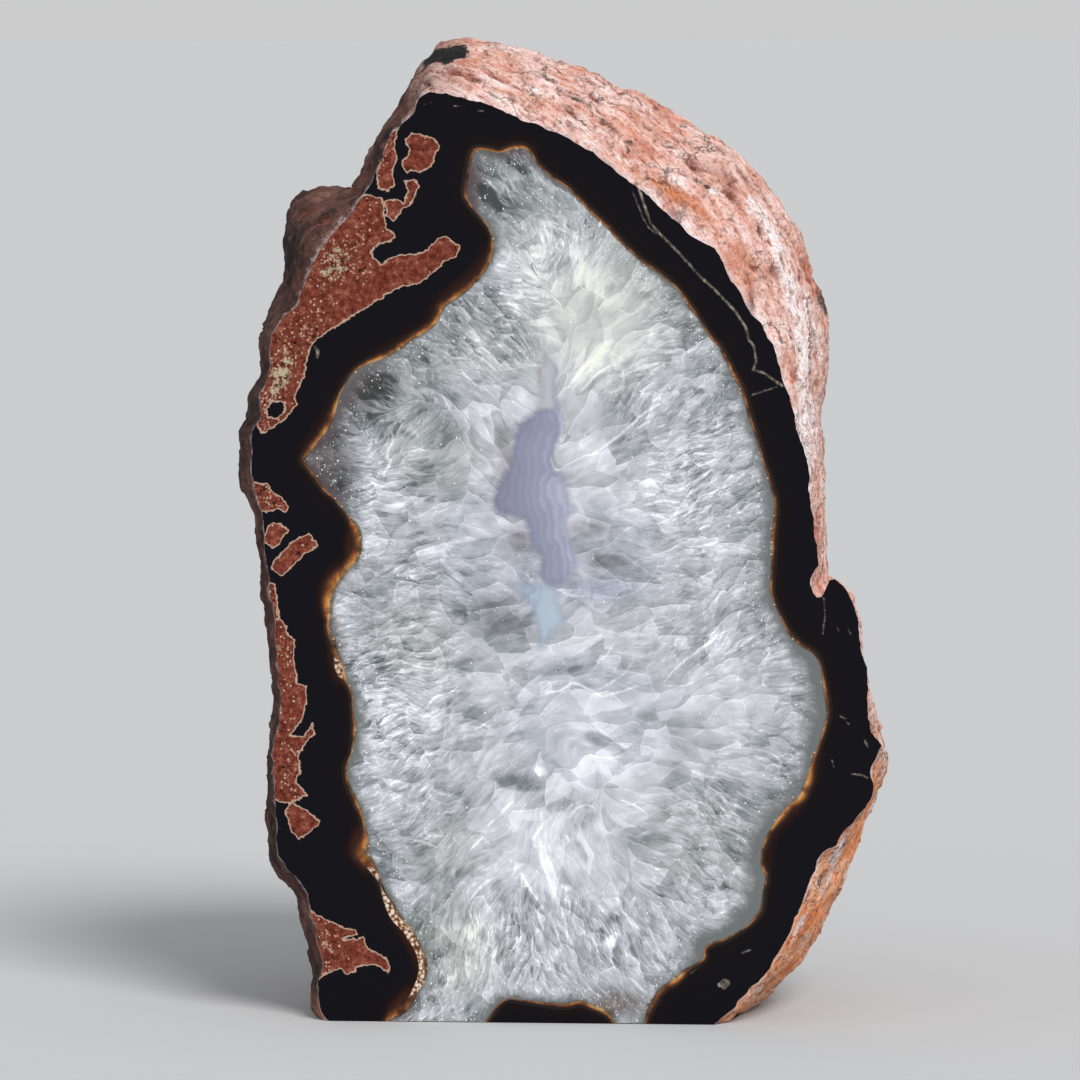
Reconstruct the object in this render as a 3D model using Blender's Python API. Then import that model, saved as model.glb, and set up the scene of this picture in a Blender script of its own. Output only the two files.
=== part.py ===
"""A standing agate geode: one nodule of stone, sawn flat on its polished face and under its foot.

The face looks along -Y, the foot rests on the XY plane, and the rough rind closes the sides and the back.
Lengths are in millimetres until the mesh is made, which is in metres.
"""

import math

import bmesh
import bpy
from mathutils import Matrix, Vector, noise

NAME = "geode"
METRES_PER_MM = 0.001

# The stone as a whole
DEPTH = 98.0
FACE_Y = -50.5
GIRTH_DEPTH = 31.0
GIRTH_Y = FACE_Y + GIRTH_DEPTH

# How the rind runs from the face's edge out to the girth, and in again to the back
STATIONS = 220
FRONT_RINGS = 8
FRONT_SPREAD = 1.2
FRONT_SWELL = 0.9
BACK_RINGS = 16
BACK_FULLNESS = 0.68
DOME_SQUARENESS = 0.94
BACK_CENTRE = (-1.0, 102.0)
BACK_HALF_SPAN = (66.0, 125.0)
ROUNDED_FROM = 0.68 * DEPTH
HALVED_BELOW = 0.78
QUARTERED_BELOW = 0.4
MOST_STRIDE = 4
BLUNT_RINGS = 6
BLUNT_PASSES = 8
BLUNT_FACTOR = 0.5
CROWN_TAPER = 0.2
CROWN_TAPER_HEIGHTS = (110.0, 250.0)

# The eye that the outlines were read by: a long view, from a little right of the face and above it
PICTURE_CENTRE = (540.0, 540.0)
POINTS_PER_MM = 4.0
EYE_DISTANCE = 1500.0
EYE_AZIMUTH = math.radians(5.0)
EYE_ELEVATION = math.radians(5.0)
EYE_ROLL = math.radians(0.27)
EYE_TARGET = (-3.9, FACE_Y, 122.1)

# How many short runs a curve between two corners is measured by
CURVE_STEPS = 12

# The edge of the polished face, clockwise from the left of the foot, in picture points
FACE_EDGE = {
    "left flank": [
        (330, 1021), (321, 1007), (319, 988), (321, 962), (316, 935), (311, 911), (303, 886), (287, 864),
        (279, 846), (276, 800), (273, 763), (280, 712), (278, 648), (272, 591), (266, 541), (261, 508),
        (252, 481), (251, 454), (254, 430), (261, 412), (261, 396), (269, 378), (272, 352), (273, 338),
    ],
    "shoulder": [(273, 338), (285, 316), (299, 302), (311, 265), (330, 240), (350, 216), (362, 197)],
    "left crest": [(362, 197), (371, 183), (381, 159), (391, 134), (413, 114), (420, 100), (430, 92)],
    "crown": [
        (430, 92), (470, 100), (540, 125), (577, 143), (609, 165), (652, 201), (691, 234), (715, 253),
        (740, 295), (762, 326), (777, 361), (793, 412), (807, 471), (814, 526), (817, 565),
    ],
    "right bulge": [
        (817, 565), (811, 582), (822, 596), (831, 580), (841, 584), (851, 600), (858, 625), (860, 652),
        (866, 676), (867, 702), (870, 726), (881, 746),
    ],
    "lower right": [
        (881, 746), (872, 772), (874, 789), (859, 815), (836, 846), (818, 856), (809, 885), (790, 930),
        (768, 967), (742, 998), (714, 1024),
    ],
    "keel": [(714, 1024), (690, 1062), (620, 1100), (520, 1110), (410, 1090), (350, 1054), (330, 1021)],
}

# The widest outline of the rind, as it is seen past the face, in the same stretches
GIRTH_EDGE = {
    "left flank": [
        (324, 1022), (317, 1000), (316, 980), (318, 961), (313, 935), (307, 911), (301, 885), (284, 863),
        (276, 846), (272, 793), (270, 763), (276, 712), (275, 646), (268, 591), (262, 540), (258, 508),
        (248, 481), (248, 453), (250, 428), (256, 418), (257, 395), (266, 377), (268, 351), (270, 337),
    ],
    "shoulder": [
        (270, 337), (279, 302), (287, 272), (289, 245), (291, 220), (298, 201), (315, 189), (340, 187), (358, 190),
    ],
    "left crest": [(358, 190), (371, 165), (391, 125), (406, 100), (426, 60), (440, 46)],
    "crown": [
        (440, 46), (460, 41), (480, 40), (520, 49), (560, 63), (600, 76), (620, 91), (640, 93), (690, 126),
        (740, 156), (779, 201), (805, 246), (811, 270), (825, 300), (829, 330), (827, 370), (821, 410),
        (821, 450), (823, 500), (824, 560),
    ],
    "right bulge": [(824, 560), (826, 578), (844, 590), (859, 620), (864, 660), (871, 700), (879, 730), (883, 750)],
    "lower right": [
        (883, 750), (883, 770), (875, 790), (863, 820), (858, 837), (847, 865), (824, 915), (811, 943),
        (793, 965), (771, 989), (748, 1007), (730, 1022),
    ],
    "keel": [(730, 1022), (706, 1066), (630, 1112), (520, 1126), (400, 1106), (340, 1060), (324, 1022)],
}

# Relief of the rind: how far each kind stands out, how long one of its waves is, and where its noise starts
SWELL_HEIGHT = 9.0
SWELL_LENGTH = 62.0
SWELL_START = Vector((3.1, 7.7, 1.3))
LUMP_HEIGHT = 3.8
LUMP_LENGTH = 24.0
LUMP_SMOOTHNESS = 0.9
LUMP_FINENESS = 2.0
LUMP_OCTAVES = 2
LEDGE_HEIGHT = 2.2
LEDGE_LENGTH = 44.0
LEDGE_WIDTH = 9.0
LEDGE_CREST = 0.5
LEDGE_STEEPNESS = 2.0
LEDGE_START = 4.2
LEDGES_END = (0.6 * DEPTH, 0.85 * DEPTH)
PIT_DEPTH = 3.2
PIT_LENGTH = 19.0
PIT_THRESHOLD = 0.15
PIT_START = Vector((11.0, 2.0, 5.0))

# The relief is nothing at the polished edge, calm as far as the girth, and full towards the back
CLEAN_RIM = 9.0
CALM_SHARE = 0.3
FULL_RELIEF_DEPTH = 0.7 * DEPTH

STONE_COLOUR = (0.42, 0.30, 0.26, 1.0)
STONE_ROUGHNESS = 0.72


def eye_axes():
    """The eye's place and its right, up and forward directions."""
    sideways = math.cos(EYE_ELEVATION)
    forward = Vector((
        -math.sin(EYE_AZIMUTH) * sideways,
        math.cos(EYE_AZIMUTH) * sideways,
        -math.sin(EYE_ELEVATION),
    ))
    right = Vector((math.cos(EYE_AZIMUTH), math.sin(EYE_AZIMUTH), 0.0))
    up = right.cross(forward)
    turn = Matrix.Rotation(EYE_ROLL, 3, forward)
    return Vector(EYE_TARGET) - forward * EYE_DISTANCE, turn @ right, turn @ up, forward


def seen_at(point, y):
    """The place (x, z) where the line of sight through a picture point meets the upright plane at y."""
    eye, right, up, forward = eye_axes()
    across = (point[0] - PICTURE_CENTRE[0]) / POINTS_PER_MM
    rise = (PICTURE_CENTRE[1] - point[1]) / POINTS_PER_MM
    sight = forward * EYE_DISTANCE + right * across + up * rise
    place = eye + sight * ((y - eye.y) / sight.y)
    return Vector((place.x, place.z))


def curve_point(corners, i, t):
    """A point of the Catmull-Rom curve through the corners, at t of the way from corner i to the next."""
    last = len(corners) - 1
    before = corners[max(i - 1, 0)]
    start = corners[i]
    end = corners[min(i + 1, last)]
    after = corners[min(i + 2, last)]
    bend = 2 * before - 5 * start + 4 * end - after
    twist = 3 * start - before - 3 * end + after
    return start + 0.5 * t * (end - before + t * (bend + t * twist))


def evenly_along(corners, count):
    """count points at even steps along the curve through the corners, without the last one."""
    runs = range(len(corners) - 1)
    path = [curve_point(corners, i, k / CURVE_STEPS) for i in runs for k in range(CURVE_STEPS)]
    path.append(corners[-1])
    walked = [0.0]
    for a, b in zip(path, path[1:]):
        walked.append(walked[-1] + (b - a).length)
    points = []
    j = 0
    for k in range(count):
        goal = walked[-1] * k / count
        while walked[j + 1] < goal:
            j += 1
        t = (goal - walked[j]) / (walked[j + 1] - walked[j])
        points.append(path[j].lerp(path[j + 1], t))
    return points


def stretch_length(corners):
    """The length of the straight runs between corners."""
    return sum((b - a).length for a, b in zip(corners, corners[1:]))


def outlines():
    """The face's edge and the girth, as two closed rings whose points pair up, stretch by stretch."""
    face = {key: [seen_at(p, FACE_Y) for p in points] for key, points in FACE_EDGE.items()}
    girth = {key: [seen_at(p, GIRTH_Y) for p in points] for key, points in GIRTH_EDGE.items()}
    whole = sum(stretch_length(corners) for corners in girth.values())
    face_ring = []
    girth_ring = []
    for key, corners in girth.items():
        count = MOST_STRIDE * round(STATIONS * stretch_length(corners) / whole / MOST_STRIDE)
        face_ring += evenly_along(face[key], count)
        girth_ring += evenly_along(corners, count)
    return face_ring, girth_ring


def sections():
    """(depth behind the face, share of the way from the face's edge to the girth, size) of each ring."""
    rings = []
    for k in range(FRONT_RINGS):
        share = k / FRONT_RINGS
        swell = math.sin(share * math.pi / 2) ** FRONT_SWELL
        rings.append((GIRTH_DEPTH * share**FRONT_SPREAD, swell, 1.0))
    for k in range(BACK_RINGS):
        turn = k / BACK_RINGS * math.pi / 2
        depth = GIRTH_DEPTH + (DEPTH - GIRTH_DEPTH) * math.sin(turn) ** DOME_SQUARENESS
        rings.append((depth, 1.0, math.cos(turn) ** BACK_FULLNESS))
    return rings


def ease(value, low, high):
    """0 below low, 1 above high, and a smooth rise between."""
    t = min(max((value - low) / (high - low), 0.0), 1.0)
    return t * t * (3 - 2 * t)


def relief(place, along, depth):
    """How far the rind stands out at a place.

    along is how far round the stone the place lies, and ledges run that way.
    """
    swell = noise.noise(place / SWELL_LENGTH + SWELL_START) * SWELL_HEIGHT
    lump = noise.fractal(place / LUMP_LENGTH, LUMP_SMOOTHNESS, LUMP_FINENESS, LUMP_OCTAVES) * LUMP_HEIGHT
    wave = noise.noise(Vector((along / LEDGE_LENGTH, depth / LEDGE_WIDTH, LEDGE_START)))
    ledge = (LEDGE_CREST - LEDGE_STEEPNESS * abs(wave)) * LEDGE_HEIGHT * (1.0 - ease(depth, *LEDGES_END))
    pit = max(0.0, noise.noise(place / PIT_LENGTH + PIT_START) - PIT_THRESHOLD) * PIT_DEPTH
    behind = ease(depth, GIRTH_DEPTH, FULL_RELIEF_DEPTH)
    calm = CALM_SHARE + (1.0 - CALM_SHARE) * behind
    return (swell * behind + (lump + ledge - pit) * calm) * ease(depth, 0.0, CLEAN_RIM)


def rounded_back(girth, centre):
    """The point of the back's plain oval that lies the same way from the centre as a girth point."""
    way = girth - centre
    reach = math.hypot(way.x / BACK_HALF_SPAN[0], way.y / BACK_HALF_SPAN[1])
    return centre + way / reach


def stride_at(size):
    """How many stations one point of a ring stands for, so that small rings have few points."""
    if size < QUARTERED_BELOW:
        return MOST_STRIDE
    return MOST_STRIDE // 2 if size < HALVED_BELOW else 1


def join_rings(mesh, near, far):
    """Faces between two rings, of which the far one has as many points as the near one, or half."""
    for k, vert in enumerate(far):
        after = far[(k + 1) % len(far)]
        if len(near) == len(far):
            mesh.faces.new((near[k], near[(k + 1) % len(near)], after, vert))
            continue
        start, middle, end = near[2 * k], near[2 * k + 1], near[(2 * k + 2) % len(near)]
        mesh.faces.new((start, middle, vert))
        mesh.faces.new((middle, after, vert))
        mesh.faces.new((middle, end, after))


def nodule():
    """The whole lump as a mesh, its face already flat and its keel still on."""
    stations = list(zip(*outlines()))
    centre = Vector(BACK_CENTRE)
    along = [0.0]
    for (_, a), (_, b) in zip(stations, stations[1:]):
        along.append(along[-1] + (b - a).length)
    mesh = bmesh.new()
    rings = []
    places = {}
    for depth, share, size in sections():
        ring = []
        stride = stride_at(size)
        for k, (edge, girth) in enumerate(stations[::stride]):
            worn = girth.lerp(rounded_back(girth, centre), ease(depth, GIRTH_DEPTH, ROUNDED_FROM))
            flat = centre + (edge.lerp(worn, share) - centre) * size
            taper = 1.0 - CROWN_TAPER * ease(flat.y, *CROWN_TAPER_HEIGHTS)
            vert = mesh.verts.new((flat.x, FACE_Y + depth * taper, flat.y))
            places[vert] = (along[k * stride], depth)
            ring.append(vert)
        rings.append(ring)
    pole = mesh.verts.new((centre.x, FACE_Y + DEPTH, centre.y))
    for near, far in zip(rings, rings[1:]):
        join_rings(mesh, near, far)
    last = rings[-1]
    for k, vert in enumerate(last):
        mesh.faces.new((vert, last[(k + 1) % len(last)], pole))
    blunt = [vert for ring in rings[-BLUNT_RINGS:] for vert in ring] + [pole]
    for _ in range(BLUNT_PASSES):
        bmesh.ops.smooth_vert(
            mesh, verts=blunt, factor=BLUNT_FACTOR, use_axis_x=True, use_axis_y=True, use_axis_z=True
        )
    mesh.normal_update()
    moves = {vert: vert.normal * relief(vert.co, *place) for vert, place in places.items()}
    for vert, move in moves.items():
        vert.co += move
    mesh.faces.new(list(reversed(rings[0])))
    return mesh


def saw_foot(mesh):
    """Cuts the lump off flat at the plane it stands on, and closes the cut."""
    everything = mesh.verts[:] + mesh.edges[:] + mesh.faces[:]
    cut = bmesh.ops.bisect_plane(
        mesh, geom=everything, dist=1e-5, plane_co=(0, 0, 0), plane_no=(0, 0, 1), clear_inner=True
    )
    rim = [e for e in cut["geom_cut"] if isinstance(e, bmesh.types.BMEdge)]
    bmesh.ops.contextual_create(mesh, geom=rim)


def stone_material():
    """One plain finish for the whole stone, between the rind's salmon and the agate's black."""
    material = bpy.data.materials.new("agate_and_rind")
    material.use_nodes = True
    shader = material.node_tree.nodes["Principled BSDF"]
    shader.inputs["Base Color"].default_value = STONE_COLOUR
    shader.inputs["Roughness"].default_value = STONE_ROUGHNESS
    shader.inputs["Metallic"].default_value = 0.0
    return material


def make_geode(collection):
    """Builds the stone as one closed object."""
    lump = nodule()
    saw_foot(lump)
    bmesh.ops.recalc_face_normals(lump, faces=lump.faces[:])
    bmesh.ops.transform(lump, matrix=Matrix.Scale(METRES_PER_MM, 4), verts=lump.verts[:])
    mesh = bpy.data.meshes.new(NAME)
    lump.to_mesh(mesh)
    lump.free()
    mesh.materials.append(stone_material())
    geode = bpy.data.objects.new(NAME, mesh)
    collection.objects.link(geode)


def main():
    """Clears the scene and builds the stone in a collection of its own."""
    for old in list(bpy.data.objects):
        bpy.data.objects.remove(old)
    collection = bpy.data.collections.new("agate_geode")
    bpy.context.scene.collection.children.link(collection)
    make_geode(collection)


main()
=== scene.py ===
"""The looks of a standing agate geode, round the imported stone.

The stone shows a rough salmon rind, a flat polished face and a flat-sawn foot. The face cuts through a band
of black agate, a thin rust line and a heart of milky quartz with a pool of lavender chalcedony.
Lengths are in millimetres until a mesh is made, which is in metres. Places on the polished face are read as
picture points, which the Sight class turns into millimetres.
"""

import logging
import math
from dataclasses import dataclass, field
from enum import Enum

import bmesh
import bpy
import numpy as np
from mathutils import Matrix, Vector, noise
from mathutils.geometry import delaunay_2d_cdt


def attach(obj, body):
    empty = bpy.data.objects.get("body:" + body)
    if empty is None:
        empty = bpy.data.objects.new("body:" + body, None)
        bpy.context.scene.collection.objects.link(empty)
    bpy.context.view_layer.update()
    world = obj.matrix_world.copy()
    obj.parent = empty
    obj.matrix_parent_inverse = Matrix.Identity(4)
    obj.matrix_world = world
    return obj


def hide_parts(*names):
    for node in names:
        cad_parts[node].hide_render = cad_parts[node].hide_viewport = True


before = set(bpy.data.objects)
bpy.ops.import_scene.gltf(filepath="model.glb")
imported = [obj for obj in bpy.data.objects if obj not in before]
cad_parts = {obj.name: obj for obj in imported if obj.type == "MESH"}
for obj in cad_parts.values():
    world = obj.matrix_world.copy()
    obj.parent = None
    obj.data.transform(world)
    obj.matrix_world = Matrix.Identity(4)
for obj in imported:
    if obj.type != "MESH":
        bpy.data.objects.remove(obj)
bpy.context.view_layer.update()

LOG = logging.getLogger("agate_geode")
METRES_PER_MM = 0.001
ROOT_BODY = "root"
STONE_NODE = "geode"

# The stone's driving sizes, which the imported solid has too
FACE_Y = -50.5
DEPTH = 98.0
GIRTH_DEPTH = 31.0
GIRTH_Y = FACE_Y + GIRTH_DEPTH

Places = np.ndarray
Socket = bpy.types.NodeSocket
Field = np.ndarray


class Slot(Enum):
    """The material slots that the stone's finishes belong to."""

    RIND = "rind"
    AGATE = "black_agate"
    QUARTZ = "milky_quartz"
    FOOT = "sawn_foot"


class Turf(Enum):
    """The natural dress of one stretch of rind."""

    SALMON = "weathered salmon crust"
    ORANGE = "iron-stained slab"
    # Dark brown crust, its darkness partly painted shade on the stone's left side
    UMBER_AND_SHADE = "dark brown crust"


# The polished face's edge, clockwise from the left of the foot, in picture points
FACE_EDGE = {
    "left flank": [
        (330, 1021), (321, 1007), (319, 988), (321, 962), (316, 935), (311, 911), (303, 886), (287, 864),
        (279, 846), (276, 800), (273, 763), (280, 712), (278, 648), (272, 591), (266, 541), (261, 508),
        (252, 481), (251, 454), (254, 430), (261, 412), (261, 396), (269, 378), (272, 352), (273, 338),
    ],
    "shoulder": [(273, 338), (285, 316), (299, 302), (311, 265), (330, 240), (350, 216), (362, 197)],
    "left crest": [(362, 197), (371, 183), (381, 159), (391, 134), (413, 114), (420, 100), (430, 92)],
    "crown": [
        (430, 92), (470, 100), (540, 125), (577, 143), (609, 165), (652, 201), (691, 234), (715, 253),
        (740, 295), (762, 326), (777, 361), (793, 412), (807, 471), (814, 526), (817, 565),
    ],
    "right bulge": [
        (817, 565), (811, 580), (814, 595), (823, 597), (829, 580), (841, 584), (851, 600), (858, 625),
        (860, 652), (866, 676), (867, 702), (870, 726), (877, 740), (881, 746),
    ],
    "lower right": [
        (881, 746), (872, 772), (874, 789), (859, 815), (844, 833), (835, 846), (829, 848), (818, 856),
        (809, 885), (790, 930), (768, 967), (742, 998), (714, 1024),
    ],
    "keel": [(714, 1024), (690, 1062), (620, 1100), (520, 1110), (410, 1090), (350, 1054), (330, 1021)],
}

# The rind's widest outline, as it is seen past the face, in the same stretches
GIRTH_EDGE = {
    "left flank": [
        (324, 1022), (317, 1000), (316, 980), (318, 961), (313, 935), (307, 911), (301, 885), (284, 863),
        (276, 846), (272, 793), (270, 763), (276, 712), (275, 646), (268, 591), (262, 540), (258, 508),
        (248, 481), (248, 453), (250, 428), (256, 418), (257, 395), (266, 377), (268, 351), (270, 337),
    ],
    "shoulder": [
        (270, 337), (279, 302), (287, 272), (289, 245), (291, 220), (298, 201), (315, 189), (340, 187), (358, 190),
    ],
    "left crest": [(358, 190), (371, 165), (391, 125), (406, 100), (426, 60), (440, 46)],
    "crown": [
        (440, 46), (460, 41), (480, 40), (520, 49), (560, 63), (600, 76), (620, 91), (640, 93), (690, 126),
        (740, 156), (779, 201), (805, 246), (811, 270), (825, 300), (829, 330), (827, 370), (821, 410),
        (821, 450), (823, 500), (824, 560),
    ],
    "right bulge": [(824, 560), (826, 578), (844, 590), (859, 620), (864, 660), (871, 700), (879, 730), (883, 750)],
    "lower right": [
        (883, 750), (883, 770), (875, 790), (863, 820), (858, 837), (847, 865), (824, 915), (811, 943),
        (793, 965), (771, 989), (748, 1007), (730, 1022),
    ],
    "keel": [(730, 1022), (706, 1066), (630, 1112), (520, 1126), (400, 1106), (340, 1060), (324, 1022)],
}

# The rust line where the agate ends and the quartz begins, clockwise from the top pocket
QUARTZ_EDGE = [
    (464, 196), (464, 186), (467, 168), (471, 152), (478, 147), (491, 149), (500, 151), (509, 147), (516, 145),
    (524, 145), (532, 151), (537, 161), (550, 174), (568, 186), (580, 198), (593, 211), (606, 223), (622, 240),
    (642, 259), (662, 273), (681, 291), (697, 314), (713, 337), (722, 347), (734, 371), (744, 389), (750, 410),
    (758, 436), (764, 459), (771, 479), (777, 504), (775, 540), (774, 565), (773, 593), (783, 618), (790, 631),
    (803, 644), (818, 655), (825, 681), (829, 702), (829, 718), (823, 737), (816, 759), (812, 780), (805, 798),
    (790, 811), (775, 828), (766, 844), (763, 861), (768, 877), (765, 892), (762, 911), (749, 926), (729, 939),
    (707, 948), (705, 959), (690, 970), (677, 983), (664, 991), (653, 1009), (647, 1023), (645, 1036), (615, 1036),
    (612, 1023), (608, 1017), (597, 1011), (579, 1004), (564, 1007), (531, 1003), (512, 1000), (501, 1004),
    (488, 1022), (486, 1036), (386, 1036), (388, 1016), (399, 1007), (410, 996), (418, 985), (422, 967),
    (418, 950), (408, 934), (404, 928), (393, 916), (383, 893), (375, 875), (362, 863), (354, 853), (360, 840),
    (362, 822), (355, 804), (346, 783), (345, 767), (351, 751), (353, 732), (352, 712), (350, 693), (340, 673),
    (332, 651), (327, 632), (326, 618), (323, 602), (328, 583), (340, 569), (351, 555), (353, 536), (348, 520),
    (336, 502), (322, 489), (309, 471), (301, 459), (313, 442), (326, 424), (334, 404), (342, 387), (350, 374),
    (362, 364), (381, 355), (397, 346), (413, 334), (432, 322), (440, 305), (457, 292), (471, 281), (481, 270),
    (488, 258), (491, 245), (490, 233), (483, 222), (472, 209),
]

# The pool of chalcedony: its grey neck above, its lavender body, and the pale blue tip below a clear line
POOL_NECK = [(541, 362), (548, 357), (556, 360), (559, 371), (558, 391), (560, 412), (540, 416), (536, 404),
             (538, 397), (538, 381), (536, 369)]
POOL_BODY = [
    (514, 424), (525, 416), (538, 409), (556, 407), (562, 413), (562, 428), (560, 442), (555, 457), (556, 468),
    (566, 473), (568, 483), (571, 497), (578, 510), (570, 520), (570, 534), (576, 549), (580, 562), (572, 577),
    (560, 586), (545, 586), (538, 572), (540, 558), (533, 553), (529, 540), (525, 526), (517, 519), (506, 517),
    (494, 512), (492, 501), (494, 490), (499, 478), (506, 468), (509, 457), (513, 437),
]
POOL_TIP = [
    (505, 582), (520, 580), (545, 583), (558, 589), (560, 602), (567, 618), (563, 627), (552, 636), (545, 651),
    (537, 650), (538, 636), (533, 623), (531, 610), (522, 599), (512, 590),
]

# Red-brown pieces of the host rock that the agate healed round
JASPER = {
    "shoulder arm": [
        (366, 193), (383, 198), (385, 216), (387, 228), (397, 236), (391, 242), (381, 244), (371, 253), (381, 263),
        (395, 255), (415, 253), (428, 249), (436, 238), (446, 236), (460, 246), (458, 255), (444, 263), (432, 275),
        (420, 285), (403, 287), (387, 295), (371, 306), (354, 316), (338, 326), (322, 336), (311, 346), (307, 361),
        (305, 375), (299, 389), (295, 398), (299, 404), (287, 418), (275, 428), (262, 434), (256, 424), (240, 414),
        (240, 395), (250, 377), (255, 340), (275, 310), (295, 290), (305, 255), (325, 230), (345, 205),
    ],
    "upper block": [
        (405, 139), (411, 133), (422, 134), (434, 138), (440, 146), (436, 158), (430, 169), (420, 172), (412, 171),
        (407, 173), (402, 168), (402, 160), (409, 152),
    ],
    "crest chain": [
        (383, 150), (391, 120), (396, 118), (400, 128), (395, 142), (398, 160), (392, 172), (396, 184), (388, 192),
        (378, 190), (376, 172),
    ],
    "crest sliver": [(403, 180), (416, 178), (420, 186), (414, 200), (406, 210), (402, 205), (407, 192)],
    "crest pebble": [(384, 200), (398, 198), (406, 204), (400, 214), (394, 222), (386, 216)],
    "wedge": [(240, 481), (266, 483), (277, 493), (287, 502), (289, 508), (285, 512), (275, 510), (266, 514), (250, 505)],
    "bead": [(268, 524), (279, 522), (289, 530), (281, 542), (273, 549), (262, 540)],
    "brick": [(309, 532), (319, 546), (305, 555), (287, 573), (281, 577), (270, 568), (274, 560), (287, 546), (297, 538)],
    "left hem": [
        (262, 580), (276, 583), (281, 620), (288, 626), (287, 632), (295, 640), (295, 661), (298, 683), (307, 685),
        (307, 704), (302, 722), (290, 735), (303, 736), (312, 722), (315, 734), (307, 742), (299, 755), (301, 771),
        (297, 783), (309, 796), (295, 802), (285, 804), (272, 800), (262, 763), (262, 700), (262, 640),
    ],
    "lower fragment": [(289, 802), (305, 808), (322, 822), (311, 832), (299, 840), (291, 832), (284, 814)],
    "corner": [
        (305, 905), (317, 915), (325, 918), (342, 926), (355, 930), (358, 935), (343, 939), (364, 937), (368, 948),
        (386, 957), (391, 967), (388, 975), (379, 967), (371, 965), (358, 967), (355, 972), (347, 975), (340, 970),
        (332, 972), (323, 976), (318, 983), (305, 972),
    ],
}

# Black agate that fills a hole in the red-brown rock
JASPER_GAP = [(268, 409), (273, 402), (284, 403), (284, 411), (277, 417), (269, 416)]

# Healed cracks and white nicks in the agate, each with its half width in millimetres
CRACKS = [
    (0.27, [(638, 186), (644, 204), (650, 222), (662, 236), (679, 253), (699, 275),
            (720, 295), (736, 312), (746, 328), (749, 340), (754, 346), (756, 361), (753, 370), (764, 373), (775, 381), (783, 386)]),
    (0.16, [(752, 395), (764, 391), (777, 387)]), (0.14, [(824, 598), (825, 616), (823, 634)]),
    (0.14, [(632, 190), (640, 210), (647, 226), (656, 234)]),
    (0.60, [(720, 985), (724, 981), (728, 983), (724, 987)]), (0.24, [(742, 953), (750, 950)]),
    (0.36, [(315, 347), (318, 351), (317, 357)]), (0.08, [(424, 104), (432, 103)]),
    (0.10, [(454, 106), (466, 107)]), (0.08, [(474, 110), (484, 111)]), (0.16, [(840, 716), (846, 719)]),
    (0.14, [(846, 722), (849, 724)]), (0.20, [(865, 741), (868, 747)]),
    (0.20, [(852, 774), (862, 775), (868, 778)]), (0.12, [(832, 760), (834, 768)]),
    (0.12, [(837, 626), (839, 632)]), (0.12, [(848, 629), (851, 634)]),
    (0.10, [(704, 948), (706, 958), (700, 966), (688, 975)]),
]


def linear(colour: str) -> tuple[float, float, float, float]:
    """A hex sRGB colour as linear red, green, blue and alpha.

    Args:
        colour: A hex colour such as "#C08060".

    Returns:
        The linear colour, with an alpha of 1.
    """
    parts = [int(colour[i:i + 2], 16) / 255 for i in (1, 3, 5)]
    red, green, blue = (p / 12.92 if p <= 0.04045 else ((p + 0.055) / 1.055) ** 2.4 for p in parts)
    return red, green, blue, 1.0


def ease(value: Field, low: float, high: float) -> Field:
    """0 below low, 1 above high, and a smooth rise between.

    Args:
        value: The values to ease.
        low: Where the rise starts.
        high: Where the rise ends.

    Returns:
        The eased values.
    """
    t = np.clip((np.asarray(value) - low) / (high - low), 0.0, 1.0)
    return t * t * (3 - 2 * t)


def smooth_line(corners: Places, count: int, closed: bool = False) -> Places:
    """Points at even steps along the Catmull-Rom curve through some corners.

    Args:
        corners: The corners, one row each.
        count: How many points to give. The last corner isn't one of them.
        closed: Whether the curve runs from the last corner back to the first.

    Returns:
        The points, one row each.
    """
    corners = np.asarray(corners, float)
    if closed:
        padded = np.concatenate([corners[-1:], corners, corners[:2]])
    else:
        padded = np.concatenate([corners[:1], corners, corners[-1:]])
    before, start, end, after = padded[:-3], padded[1:-2], padded[2:-1], padded[3:]
    t = (np.arange(12) / 12)[None, :, None]
    before, start, end, after = (a[:, None, :] for a in (before, start, end, after))
    bend = 2 * before - 5 * start + 4 * end - after
    twist = 3 * start - before - 3 * end + after
    path = (start + 0.5 * t * (end - before + t * (bend + t * twist))).reshape(-1, corners.shape[1])
    path = np.concatenate([path, corners[:1] if closed else corners[-1:]])
    walked = np.concatenate([[0.0], np.cumsum(np.linalg.norm(np.diff(path, axis=0), axis=1))])
    goals = walked[-1] * np.arange(count) / count
    return np.stack([np.interp(goals, walked, path[:, k]) for k in range(corners.shape[1])], axis=1)


def run_length(corners: Places) -> float:
    """The length of the straight runs between corners."""
    return float(np.linalg.norm(np.diff(np.asarray(corners, float), axis=0), axis=1).sum())


def off_line(places: Places, line: Places, closed: bool = False) -> Field:
    """How far each place lies from a line of points.

    Args:
        places: The places, one row each.
        line: The line's points, one row each.
        closed: Whether the line runs back to its first point.

    Returns:
        The distances.
    """
    best = np.full(len(places), np.inf)
    ends = np.roll(line, -1, axis=0) if closed else line[1:]
    for a, b in zip(line, ends):
        way = b - a
        share = np.clip(((places - a) @ way) / max(way @ way, 1e-12), 0.0, 1.0)
        off = places - a - share[:, None] * way
        np.minimum(best, np.einsum("ij,ij->i", off, off), out=best)
    return np.sqrt(best)


def within(places: Places, ring: Places) -> np.ndarray:
    """Which places lie inside a closed ring.

    Args:
        places: The places, one row each.
        ring: The ring's points, one row each.

    Returns:
        True for each place that lies inside.
    """
    inside = np.zeros(len(places), bool)
    for a, b in zip(ring, np.roll(ring, -1, axis=0)):
        if a[1] == b[1]:
            continue
        spans = (places[:, 1] < a[1]) != (places[:, 1] < b[1])
        cross = a[0] + (places[:, 1] - a[1]) * (b[0] - a[0]) / (b[1] - a[1])
        inside ^= spans & (places[:, 0] < cross)
    return inside


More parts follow.
